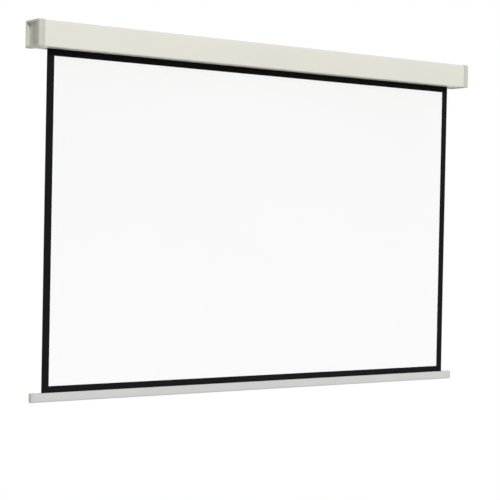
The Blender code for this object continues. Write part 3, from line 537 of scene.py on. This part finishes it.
def makeEndCap(sideName, side):
    size = endCap
    low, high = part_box(f"end_cap_{sideName}")
    outer = high.x if side > 0 else low.x
    cap = block(f"endCap{sideName.capitalize()}", low, high)
    longEdges(cap, low, high, size["topFold"], size["fold"])
    roundRim(cap, lambda at, face: side * face.normal.x > 0.99 and near(at.x, outer), size["edge"])
    reach = sorted((outer - side * size["sunk"], outer + side * size["past"]))
    sunkLow = Vector((reach[0], low.y + size["frontRim"], low.z + size["rim"]))
    sunkHigh = Vector((reach[1], high.y - size["rim"], high.z - size["rim"]))
    tool = block("sunkTool", sunkLow, sunkHigh)
    longEdges(tool, sunkLow, sunkHigh, size["sunkRound"], size["sunkRound"])
    roundRim(tool, lambda at, face: side * face.normal.x < -0.9, size["floorFillet"], 4)
    objectMode()
    carve(cap, tool)
    # the pocket that goes over the case
    inner = sorted((outer - side * size["wall"], outer - side * (size["hood"] + size["past"])))
    pocketLow = Vector((inner[0], caseLow.y - size["fit"], caseLow.z - size["fit"]))
    pocketHigh = Vector((inner[1], caseHigh.y + size["fit"], caseHigh.z + size["fit"]))
    tool = block("pocketTool", pocketLow, pocketHigh)
    longEdges(tool, pocketLow, pocketHigh, size["pocketTopFold"], size["pocketFold"])
    objectMode()
    carve(cap, tool)
    for word in ("upper", "lower"):
        at = middleOf(f"cap_screw_{sideName}_{word}")
        end = (outer + side * size["holeOut"], at.y, at.z)
        drill(cap, (outer - side * size["seatDeep"], at.y, at.z), end, size["screwSeat"], 40)
        drill(cap, (outer - side * size["holeDeep"], at.y, at.z), end, size["screwHole"], 32)
    tidyMesh(cap)
    breakEdges(cap, size["lip"])
    complete(cap, capPlastic, "cap_plastic", "case", f"end_cap_{sideName}", angle=40)


for sideName, side in (("left", -1), ("right", 1)):
    makeEndCap(sideName, side)
print("end caps: two hoods made")


def makeScrew(radius, length):
    # a pan head with a cross recess, drawn pointing up at the origin
    screw = {"head": 2.0 * radius, "rise": radius, "crown": 0.62, "cross": 1.1 * radius, "arm": 0.22 * radius,
             "recessLow": 0.35, "recessHigh": 1.6, "recessTaper": 0.72, "point": 0.8 * radius,
             "pointTaper": 0.6}
    master = barrel("screwMaster", (0, 0, 0), (0, 0, screw["rise"]), screw["head"], 40)
    roundRim(master, lambda at, face: face.normal.z > 0.9, screw["rise"] * screw["crown"], 6)
    pick(master, "FACE", lambda at, face: face.normal.z < -0.9)
    bpy.ops.mesh.inset(thickness=screw["head"] - radius)
    extrudeBy((0, 0, screw["point"] - length))
    extrudeBy((0, 0, -screw["point"]))
    bpy.ops.transform.resize(value=(screw["pointTaper"], screw["pointTaper"], 1))
    objectMode()
    low, high = screw["rise"] * screw["recessLow"], screw["rise"] * screw["recessHigh"]
    for wide, deep in ((screw["cross"], screw["arm"]), (screw["arm"], screw["cross"])):
        tool = block("crossTool", (-wide, -deep, low), (wide, deep, high))
        pick(tool, "FACE", lambda at, face: face.normal.z < -0.9)
        bpy.ops.transform.resize(value=(screw["recessTaper"], screw["recessTaper"], 1))
        objectMode()
        carve(master, tool)
    tidyMesh(master)
    return master


# head, rise and tail are shares of the shank's radius, and the crown is a share of the rise
rivetForm = {"radius": 0.0016, "head": 2.0, "rise": 0.7, "crown": 0.85, "tail": 1.6, "tailTaper": 0.75}


def makeRivet(grip):
    # a domed head with its shank and set tail
    form = rivetForm
    radius = form["radius"]
    rise, head = form["rise"] * radius, form["head"] * radius
    master = barrel("rivetMaster", (0, 0, 0), (0, 0, rise), head, 32)
    roundRim(master, lambda at, face: face.normal.z > 0.9, rise * form["crown"], 6)
    pick(master, "FACE", lambda at, face: face.normal.z < -0.9)
    bpy.ops.mesh.inset(thickness=head - radius)
    extrudeBy((0, 0, -grip))
    extrudeBy((0, 0, 0))
    bpy.ops.transform.resize(value=(form["tail"], form["tail"], 1))
    extrudeBy((0, 0, -radius))
    bpy.ops.transform.resize(value=(form["tailTaper"], form["tailTaper"], 1))
    objectMode()
    tidyMesh(master)
    return master


def pairs(kind, words):
    return [f"{kind}_{sideName}_{word}" for sideName in ("left", "right") for word in words]


# the axis is the one along each kind's shank
fasteners = {
    "cap": {"radius": 0.0020, "axis": 0, "nodes": pairs("cap_screw", ("lower", "upper"))},
    "bracket": {"radius": 0.0025, "axis": 2, "nodes": pairs("bracket_screw", ("rear", "front"))},
    "grip": {"radius": 0.0015, "axis": 1, "nodes": ["grip_screw_left", "grip_screw_right"]},
}


def pieceName(node):
    # node names read as words, piece names as one word
    first, *rest = node.split("_")
    return first + "".join(word.capitalize() for word in rest)


def placeScrews(kind, fastener):
    radius, axis = fastener["radius"], fastener["axis"]
    low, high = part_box(fastener["nodes"][0])
    master = makeScrew(radius, high[axis] - low[axis] - radius)
    for node in fastener["nodes"]:
        low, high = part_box(node)
        seat = (low + high) / 2
        way = -1 if "left" in node and kind == "cap" else 1
        facing = [0, 0, 0]
        facing[axis] = way
        seat[axis] = (high[axis] if way > 0 else low[axis]) - way * radius
        screw = copyAt(master, pieceName(node), seat, facing)
        complete(screw, zincPlate, "plated_steel", bodyOf[node], node, angle=35)
    bpy.data.objects.remove(master, do_unlink=True)


def placeRivets(rivetNodes):
    radius, rise = rivetForm["radius"], rivetForm["rise"]
    low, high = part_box(rivetNodes[0])
    # the grip is what the head and the tail leave of the rivet's length
    master = makeRivet(high.y - low.y - (rise + 1) * radius)
    for node in rivetNodes:
        low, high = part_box(node)
        seat = (low + high) / 2
        seat.y = high.y - rise * radius
        rivet = copyAt(master, pieceName(node), seat, (0, 1, 0))
        complete(rivet, zincPlate, "plated_steel", bodyOf[node], node, angle=35)
    bpy.data.objects.remove(master, do_unlink=True)


for kind, fastener in fasteners.items():
    placeScrews(kind, fastener)
placeRivets(pairs("bracket_rivet", ("lower", "upper")))
print("fasteners: screws and rivets made")


# the wall brackets are straps bent over the case's top
wallBracket = {"thick": 0.002, "bend": 0.003, "corner": 0.006, "wallHole": 0.00275, "screwHole": 0.0028,
               "holeHeights": (-0.010, 0.020), "drill": 0.010, "edge": 0.0003}


def makeWallBracket(sideName):
    size = wallBracket
    low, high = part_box(f"wall_bracket_{sideName}")
    strap = block(f"wallBracket{sideName.capitalize()}", low, high)
    pick(strap, "FACE", lambda at, face: not (face.normal.y > 0.9 or face.normal.z > 0.9))
    bpy.ops.mesh.delete(type="FACE")
    roundEdges(strap, lambda at, edge: along(edge, 0) and near(at.y, high.y) and near(at.z, high.z),
               size["bend"])
    objectMode()
    applyModifier(strap, "SOLIDIFY", thickness=size["thick"], offset=-1)
    tidyMesh(strap)
    roundEdges(strap, lambda at, edge: (along(edge, 1) and at.z < low.z + 1e-4)
               or (along(edge, 2) and at.y < low.y + 1e-4), size["corner"])
    objectMode()
    middleX, reach = (low.x + high.x) / 2, size["drill"]
    for height in size["holeHeights"]:
        drill(strap, (middleX, -reach, height), (middleX, reach, height), size["wallHole"], 32)
    for word in ("front", "rear"):
        at = middleOf(f"bracket_screw_{sideName}_{word}")
        drill(strap, (at.x, at.y, high.z - reach), (at.x, at.y, high.z + reach), size["screwHole"], 32)
    tidyMesh(strap)
    breakEdges(strap, size["edge"])
    complete(strap, zincPlate, "plated_steel", "case", f"wall_bracket_{sideName}", angle=40)


for sideName in ("left", "right"):
    makeWallBracket(sideName)
print("wall brackets: two straps made")


# the slat is an extrusion with a keyhole channel over a hollow
slatBody = {"topRound": 0.003, "bottomRound": 0.006, "steps": 8, "wall": 0.0014, "hollowRound": 0.0014,
            "channel": 0.0036, "lip": 0.0026, "slot": 0.0024, "past": 0.002, "screwHole": 0.0018,
            "drill": 0.004}
slatLow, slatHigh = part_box("bottom_slat")
channelZ = slatHigh.z - slatBody["lip"] - slatBody["channel"]


def slatEdges(piece, low, high, top, bottom):
    for level, radius in ((high.z, top), (low.z, bottom)):
        roundEdges(piece, lambda at, edge: along(edge, 0) and near(at.z, level)
                   and nearEither(at.y, low.y, high.y), radius, slatBody["steps"])
    objectMode()


def hollowBlock(name, xLow, xHigh, shrink):
    # the form of the slat's lower hollow, drawn in by a clearance
    size = slatBody
    wall = size["wall"] + shrink
    low = Vector((xLow, slatLow.y + wall, slatLow.z + wall))
    high = Vector((xHigh, slatHigh.y - wall, channelZ - size["channel"] - size["wall"] - shrink))
    tool = block(name, low, high)
    slatEdges(tool, low, high, size["hollowRound"], size["bottomRound"] - wall)
    return tool


def makeSlat():
    size = slatBody
    slat = block("slatBody", slatLow, slatHigh)
    slatEdges(slat, slatLow, slatHigh, size["topRound"], size["bottomRound"])
    middleY = (slatLow.y + slatHigh.y) / 2
    left, right = slatLow.x - size["past"], slatHigh.x + size["past"]
    carve(slat, hollowBlock("hollowTool", left, right, 0))
    carve(slat, barrel("channelTool", (left, middleY, channelZ), (right, middleY, channelZ),
                       size["channel"], 40))
    half = size["slot"] / 2
    carve(slat, block("slotTool", (left, middleY - half, channelZ),
                      (right, middleY + half, slatHigh.z + size["past"])))
    for sideName in ("left", "right"):
        at = middleOf(f"grip_screw_{sideName}")
        drill(slat, (at.x, slatHigh.y - size["drill"], at.z), (at.x, slatHigh.y + size["drill"], at.z),
              size["screwHole"])
    tidyMesh(slat)
    complete(slat, slatPaint, "slat_paint", "slat", "bottom_slat", angle=30)


slatCap = {"edge": 0.0015, "spigot": 0.012, "root": 0.003, "fit": 0.0003}


def makeSlatCap(sideName, side):
    size = slatCap
    low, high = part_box(f"slat_cap_{sideName}")
    outer = high.x if side > 0 else low.x
    inner = (slatHigh.x if side > 0 else slatLow.x) + side * size["fit"]
    low = Vector((min(inner, outer), low.y, slatLow.z))
    high = Vector((max(inner, outer), high.y, slatHigh.z))
    cap = block(f"slatCap{sideName.capitalize()}", low, high)
    slatEdges(cap, low, high, slatBody["topRound"], slatBody["bottomRound"])
    roundRim(cap, lambda at, face: side * face.normal.x > 0.99 and near(at.x, outer), size["edge"])
    objectMode()
    spigotEnds = sorted((inner - side * size["spigot"], inner + side * size["root"]))
    carve(cap, hollowBlock("spigotTool", *spigotEnds, size["fit"]), "UNION")
    tidyMesh(cap)
    complete(cap, capPlastic, "cap_plastic", "slat", f"slat_cap_{sideName}", angle=30)


makeSlat()
for sideName, side in (("left", -1), ("right", 1)):
    makeSlatCap(sideName, side)
print("slat: extrusion and end plugs made")


# the pull grip is a moulded J behind the slat
pullGrip = {"thick": 0.0026, "bend": 0.004, "lip": 0.008, "corner": 0.007, "edge": 0.0006, "hole": 0.0018,
            "drillBack": 0.004, "drillOn": 0.008, "ribs": 7, "ribPitch": 0.010, "ribWide": 0.0016,
            "ribRise": 0.0007, "ribRoot": 0.001, "ribFront": 0.004, "ribRear": 0.0035, "ribRound": 0.0005}


def makePullGrip():
    size = pullGrip
    low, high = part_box("pull_grip")
    grip = block("pullGrip", low, high)
    # only the face on the slat, the floor and the outer face stay
    pick(grip, "FACE", lambda at, face: face.normal.z > 0.9 or abs(face.normal.x) > 0.9)
    bpy.ops.mesh.delete(type="FACE")
    pick(grip, "VERT", lambda at, vert: near(at.y, high.y) and near(at.z, high.z))
    bpy.ops.transform.translate(value=(0, 0, low.z + size["lip"] - high.z))
    roundEdges(grip, lambda at, edge: along(edge, 0) and near(at.z, low.z), size["bend"])
    objectMode()
    applyModifier(grip, "SOLIDIFY", thickness=size["thick"], offset=-1)
    tidyMesh(grip)
    roundEdges(grip, lambda at, edge: along(edge, 1) and (near(at.z, high.z, 1e-4)
               or near(at.z, low.z + size["lip"], 1e-4)), size["corner"])
    objectMode()
    floorTop = low.z + size["thick"]
    for index in range(size["ribs"]):
        x = (index - (size["ribs"] - 1) / 2) * size["ribPitch"]
        half = size["ribWide"] / 2
        ribLow = Vector((x - half, low.y + size["thick"] + size["ribFront"], floorTop - size["ribRoot"]))
        ribHigh = Vector((x + half, high.y - size["thick"] - size["ribRear"], floorTop + size["ribRise"]))
        rib = block("rib", ribLow, ribHigh)
        roundEdges(rib, lambda at, edge: near(at.z, ribHigh.z) and not along(edge, 2), size["ribRound"], 3)
        objectMode()
        carve(grip, rib, "UNION")
    for sideName in ("left", "right"):
        at = middleOf(f"grip_screw_{sideName}")
        drill(grip, (at.x, low.y - size["drillBack"], at.z), (at.x, low.y + size["drillOn"], at.z),
              size["hole"])
    tidyMesh(grip)
    breakEdges(grip, size["edge"], steps=3)
    complete(grip, capPlastic, "cap_plastic", "slat", "pull_grip", angle=40)


makePullGrip()
print("pull grip: made")


# the sheet has a white picture area, a black border and a dark back
screenSheet = {"border": 0.020, "sideBorder": 0.025, "thick": 0.00045, "columns": 128, "rows": 88,
               "ripple": 0.0005, "curl": 0.0007, "curlFrom": 0.94, "wound": 0.245, "turns": 2,
               "perTurn": 64, "turnGap": 0.0003, "endGap": 0.0075, "hemLength": 0.022, "hemSteps": 36,
               "hemStart": 100, "hemTurn": 340, "strips": 8}
sheetLow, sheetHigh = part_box("screen_fabric")
sheetWide = sheetHigh.x - sheetLow.x
sheetTall = sheetHigh.z - sheetLow.z
sheetY = (sheetLow.y + sheetHigh.y) / 2
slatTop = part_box("bottom_slat")[1].z
mapSize = (sheetWide, sheetTall)
whiteSheet = sheetFinish("mattWhiteSheet", (0.955, 0.955, 0.955), (0.940, 0.940, 0.940), mapSize, 0.85)
blackSheet = sheetFinish("blackBorder", (0.006, 0.006, 0.007), (0.009, 0.009, 0.009), mapSize, 0.85)
sheetBack = sheetFinish("sheetBacking", (0.050, 0.050, 0.052), (0.068, 0.068, 0.070), mapSize, 0.75)


def makeSheet():
    size = screenSheet
    deselectAll()
    bpy.ops.mesh.primitive_grid_add(
        x_subdivisions=size["columns"], y_subdivisions=size["rows"], size=1, calc_uvs=True,
        location=(0, sheetY, (sheetLow.z + sheetHigh.z) / 2), rotation=(math.pi / 2, 0, 0))
    bpy.context.object.scale = (sheetWide, sheetTall, 1)
    sheet = named("screenSheet")
    pictureX = sheetWide / 2 - size["sideBorder"]
    pictureLow = slatTop + size["border"]
    pictureHigh = caseLow.z - size["border"]
    editing(sheet)
    for place, normal in (((-pictureX, 0, 0), (1, 0, 0)), ((pictureX, 0, 0), (1, 0, 0)),
                          ((0, 0, pictureLow), (0, 0, 1)), ((0, 0, pictureHigh), (0, 0, 1))):
        bpy.ops.mesh.select_all(action="SELECT")
        bpy.ops.mesh.bisect(plane_co=place, plane_no=normal)
    for material in (whiteSheet, blackSheet, sheetBack, sheetBack):
        sheet.data.materials.append(material)
    pick(sheet, "FACE", lambda at, face: abs(at.x) > pictureX or not pictureLow < at.z < pictureHigh)
    sheet.active_material_index = 1
    bpy.ops.object.material_slot_assign()
    # the cloth hangs a little uneven between the roller and the slat, and its sides curl back
    drawing = bmesh.from_edit_mesh(sheet.data)
    for vert in drawing.verts:
        down = (sheetHigh.z - vert.co.z) / sheetTall
        free = math.sin(math.pi * min(max(down, 0), 1)) ** 0.7
        across = vert.co.x / (sheetWide / 2)
        wave = (math.sin(5.1 * across + 0.6) * math.cos(3.3 * down + 0.4)
                + 0.6 * math.sin(11.3 * across - 2.1 * down) + 0.4 * math.sin(7.0 * down + 2.3 * across))
        side = max(0.0, abs(across) - size["curlFrom"]) / (1 - size["curlFrom"])
        vert.co.y += free * (size["ripple"] * wave / 2 + size["curl"] * side * side)
    bmesh.update_edit_mesh(sheet.data)
    objectMode()
    applyModifier(sheet, "SOLIDIFY", thickness=size["thick"], offset=0, material_offset=2,
                  material_offset_rim=0)
    complete(sheet, None, "sheet_white", "slat", "screen_fabric", angle=40)
    return sheet


def curledStrip(name, wide, steps, middle, curve):
    # a flat strip rolled about an axis along X, by a curve from its share to a radius and an angle
    deselectAll()
    bpy.ops.mesh.primitive_grid_add(
        x_subdivisions=screenSheet["strips"], y_subdivisions=steps, size=1, calc_uvs=True)
    bpy.context.object.scale = (wide, 1, 1)
    strip = named(name)
    editing(strip)
    drawing = bmesh.from_edit_mesh(strip.data)
    for vert in drawing.verts:
        radius, angle = curve(min(max(vert.co.y + 0.5, 0), 1))
        vert.co.y = middle.y + radius * math.cos(angle)
        vert.co.z = middle.z + radius * math.sin(angle)
    bmesh.update_edit_mesh(strip.data)
    objectMode()
    return strip


def makeWoundSheet():
    # the turns that stay on the tube
    size = screenSheet
    low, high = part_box("fabric_wraps")
    middle = middleOf("roller_tube")
    pitch = size["thick"] + size["turnGap"]

    def spiral(share):
        angle = size["endGap"] + (2 * math.pi * size["turns"] - 2 * size["endGap"]) * share
        return sheetY - middle.y - pitch * angle / (2 * math.pi), angle

    wound = curledStrip("woundSheet", high.x - low.x, size["turns"] * size["perTurn"], middle, spiral)
    applyModifier(wound, "SOLIDIFY", thickness=size["thick"], offset=0)
    return complete(wound, sheetBack, "sheet_black", "roller", "fabric_wraps", angle=40)


def makeHemSleeve():
    # the sheet's end, turned round the rod
    size = screenSheet
    low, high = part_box("hem_sleeve")
    radius = (high.y - low.y) / 2 - size["thick"] / 2

    def turn(share):
        return radius, math.radians(size["hemStart"] + size["hemTurn"] * share)

    sleeve = curledStrip("hemSleeve", high.x - low.x, size["hemSteps"], middleOf("hem_sleeve"), turn)
    tidyMesh(sleeve)
    applyModifier(sleeve, "SOLIDIFY", thickness=size["thick"], offset=0)
    return complete(sleeve, blackSheet, "sheet_black", "slat", "hem_sleeve", angle=40)


sheet = makeSheet()
woundSheet = makeWoundSheet()
hemSleeve = makeHemSleeve()
slide = next(joint for joint in frame["joints"] if joint["name"] == "screen_slide")
1 - slide["range_m"][1] / sheetTall
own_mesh(sheet)
print("sheet: hanging part, wound part and hem made")


# the return spring is one coiled wire with a short straight tail at each end
returnSpring = {"coils": 30, "radius": 0.009, "wire": 0.002, "perCoil": 28, "tail": 0.002}


def makeSpring():
    size = returnSpring
    low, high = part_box("torsion_spring")
    middle = middleOf("roller_tube")
    line = bpy.data.curves.new("returnSpring", "CURVE")
    line.dimensions = "3D"
    line.bevel_depth = size["wire"] / 2
    line.bevel_resolution = 3
    line.use_fill_caps = True
    count = size["coils"] * size["perCoil"]
    start, end = low.x + size["tail"], high.x - size["tail"]
    points = [(low.x, size["radius"], 0)]
    for index in range(count + 1):
        angle = 2 * math.pi * index / size["perCoil"]
        points.append((start + (end - start) * index / count,
                       size["radius"] * math.cos(angle), size["radius"] * math.sin(angle)))
    points.append((high.x, size["radius"], 0))
    spline = line.splines.new("POLY")
    spline.points.add(len(points) - 1)
    for target, (x, y, z) in zip(spline.points, points):
        target.co = (x, middle.y + y, middle.z + z, 1)
    spring = bpy.data.objects.new("returnSpring", line)
    bpy.context.scene.collection.objects.link(spring)
    choose(spring)
    bpy.ops.object.convert(target="MESH")
    spring = bpy.context.object
    tidyMesh(spring)
    complete(spring, springSteel, "spring_steel", "case", "torsion_spring", angle=60)


makeSpring()
print("return spring: made")


# the rest of the works: the solids themselves, with their edges broken by a width in metres
edgeWidths = {"folded": 0.0003, "turned": 0.0002, "small": 0.0001, "none": 0}
worksEdges = {
    "bearing_bracket_left": (pressedSteel, "folded"), "bearing_bracket_right": (pressedSteel, "folded"),
    "clinch_nut_left_front": (zincPlate, "turned"), "clinch_nut_left_rear": (zincPlate, "turned"),
    "clinch_nut_right_front": (zincPlate, "turned"), "clinch_nut_right_rear": (zincPlate, "turned"),
    "spindle": (pressedSteel, "turned"), "lock_disc": (pressedSteel, "small"),
    "lock_pin": (pressedSteel, "small"), "spring_anchor": (zincPlate, "turned"),
    "anchor_pin": (pressedSteel, "small"), "idle_bush": (naturalNylon, "turned"),
    "roller_tube": (tubeMetal, "small"), "spring_end_plug": (naturalNylon, "turned"),
    "idle_end_plug": (naturalNylon, "turned"), "idle_pin": (pressedSteel, "turned"),
    "rod_guide": (naturalNylon, "turned"), "pawl_a": (pressedSteel, "small"),
    "pawl_b": (pressedSteel, "small"), "pawl_a_pin": (zincPlate, "small"),
    "pawl_b_pin": (zincPlate, "small"), "fixing_tape": (clothTape, "none"),
    "hem_rod": (naturalNylon, "turned"),
}
slotOf = {"pressedSteel": "bracket_steel", "zincPlate": "plated_steel", "naturalNylon": "nylon",
          "drawnAluminium": "roller_tube_metal", "clothTape": "nylon"}


def refine(node, finish, edge):
    # a merged copy of a solid, smooth where it is round
    piece = nodes[node].copy()
    piece.data = nodes[node].data.copy()
    piece.name = pieceName(node)
    for key in list(piece.keys()):
        del piece[key]
    piece.parent = None
    bpy.context.scene.collection.objects.link(piece)
    mergeCorners(piece)
    bpy.ops.mesh.customdata_custom_splitnormals_clear()
    bpy.ops.mesh.dissolve_limited(angle_limit=math.radians(0.5))
    objectMode()
    if edge:
        breakEdges(piece, edge)
    complete(piece, finish, slotOf[finish.name], bodyOf[node], node, angle=35)


for node, (finish, width) in worksEdges.items():
    refine(node, finish, edgeWidths[width])
print(f"works: {len(worksEdges)} solids refined")


# one soft lamp from the front and a white surround, over a floor that fades to white
stage = {"floorZ": -2.6, "reach": 7.0, "floorTone": 0.80, "whiteNear": 0.72, "fadeFrom": 0.55, "fadeTo": 0.97,
         "ambientLow": 0.12, "ambientHigh": 0.62, "sun": 1.79, "sunAzimuth": 15, "sunElevation": 20,
         "sunSize": 4}


def whenSeen(graph):
    # 1 for rays from the camera, and for what shows in gloss or through glass
    paths = [graph.node("ShaderNodeLightPath", {}, {}, ray)
             for ray in ("Is Camera Ray", "Is Glossy Ray", "Is Transmission Ray")]
    return (paths[0] + paths[1] + paths[2]).clamp()


def makeStage():
    deselectAll()
    bpy.ops.mesh.primitive_circle_add(vertices=96, radius=stage["reach"], fill_type="NGON",
                                      location=(0, 0, stage["floorZ"]))
    floor = named("floor")
    look = Finish("paleFloor", Base_Color=(stage["floorTone"],) * 3 + (1,), Roughness=0.9,
                  Specular_IOR_Level=0.0)
    place = look.place()
    far = look.node("ShaderNodeVectorMath", {"operation": "LENGTH"}, {0: place}, "Value")
    white = look.ramp(far, stage["reach"] * stage["fadeFrom"], stage["reach"] * stage["fadeTo"],
                      stage["whiteNear"], 1.0)
    glow = look.node("ShaderNodeEmission", {}, {"Color": (1, 1, 1, 1), "Strength": 1.0})
    shown = look.node("ShaderNodeMixShader", {}, {
        0: white * whenSeen(look), 1: Value(look, look.shader.outputs[0]), 2: glow})
    look.feed(look.tree.nodes["Material Output"].inputs["Surface"], shown)
    floor.data.materials.append(look.material)
    world = bpy.data.worlds.new("studio")
    world.use_nodes = True
    bpy.context.scene.world = world
    sky = Graph(world.node_tree)
    back = world.node_tree.nodes["Background"]
    back.inputs["Color"].default_value = (1, 1, 1, 1)
    way = sky.node("ShaderNodeTexCoord", {}, {}, "Generated")
    height = sky.component(way, 2)
    soft = sky.node("ShaderNodeMapRange", {}, {
        "Value": height, "From Min": -1.0, "From Max": 1.0,
        "To Min": stage["ambientLow"], "To Max": stage["ambientHigh"]})
    sky.feed(back.inputs["Strength"], soft + (1 - soft) * whenSeen(sky))
    azimuth, elevation = math.radians(stage["sunAzimuth"]), math.radians(stage["sunElevation"])
    shine = Vector((math.sin(azimuth) * math.cos(elevation), math.cos(azimuth) * math.cos(elevation),
                    -math.sin(elevation)))
    deselectAll()
    bpy.ops.object.light_add(
        type="SUN", location=(-1, -4, 2), rotation=shine.to_track_quat("-Z", "Y").to_euler())
    lamp = bpy.context.object
    lamp.name = "softKey"
    lamp.data.energy = stage["sun"]
    lamp.data.angle = math.radians(stage["sunSize"])


# the photograph's view: a place in metres, three angles in radians, and the lens and sensor in millimetres
view = {"from": (-2.9917, -4.0634, -0.5656), "yaw": 0.6308, "pitch": -0.0153, "roll": -0.0198, "lens": 108,
        "sensor": 36}


def makeCamera():
    yaw, pitch, roll = view["yaw"], view["pitch"], view["roll"]
    forward = Vector((math.sin(yaw) * math.cos(pitch), math.cos(yaw) * math.cos(pitch), math.sin(pitch)))
    level = Vector((math.cos(yaw), -math.sin(yaw), 0))
    under = forward.cross(level)
    right = math.cos(roll) * level + math.sin(roll) * under
    down = math.cos(roll) * under - math.sin(roll) * level
    deselectAll()
    bpy.ops.object.camera_add()
    camera = bpy.context.object
    camera.name = "photographView"
    turn = Matrix((right, -down, -forward)).transposed()
    camera.matrix_world = Matrix.Translation(view["from"]) @ turn.to_4x4()
    camera.data.lens = view["lens"]
    camera.data.sensor_width = view["sensor"]
    bpy.context.scene.camera = camera


makeStage()
makeCamera()
bpy.context.scene.view_settings.view_transform = "Standard"
print("stage: floor, world, lamp and camera made")

deselectAll()
bpy.context.view_layer.update()
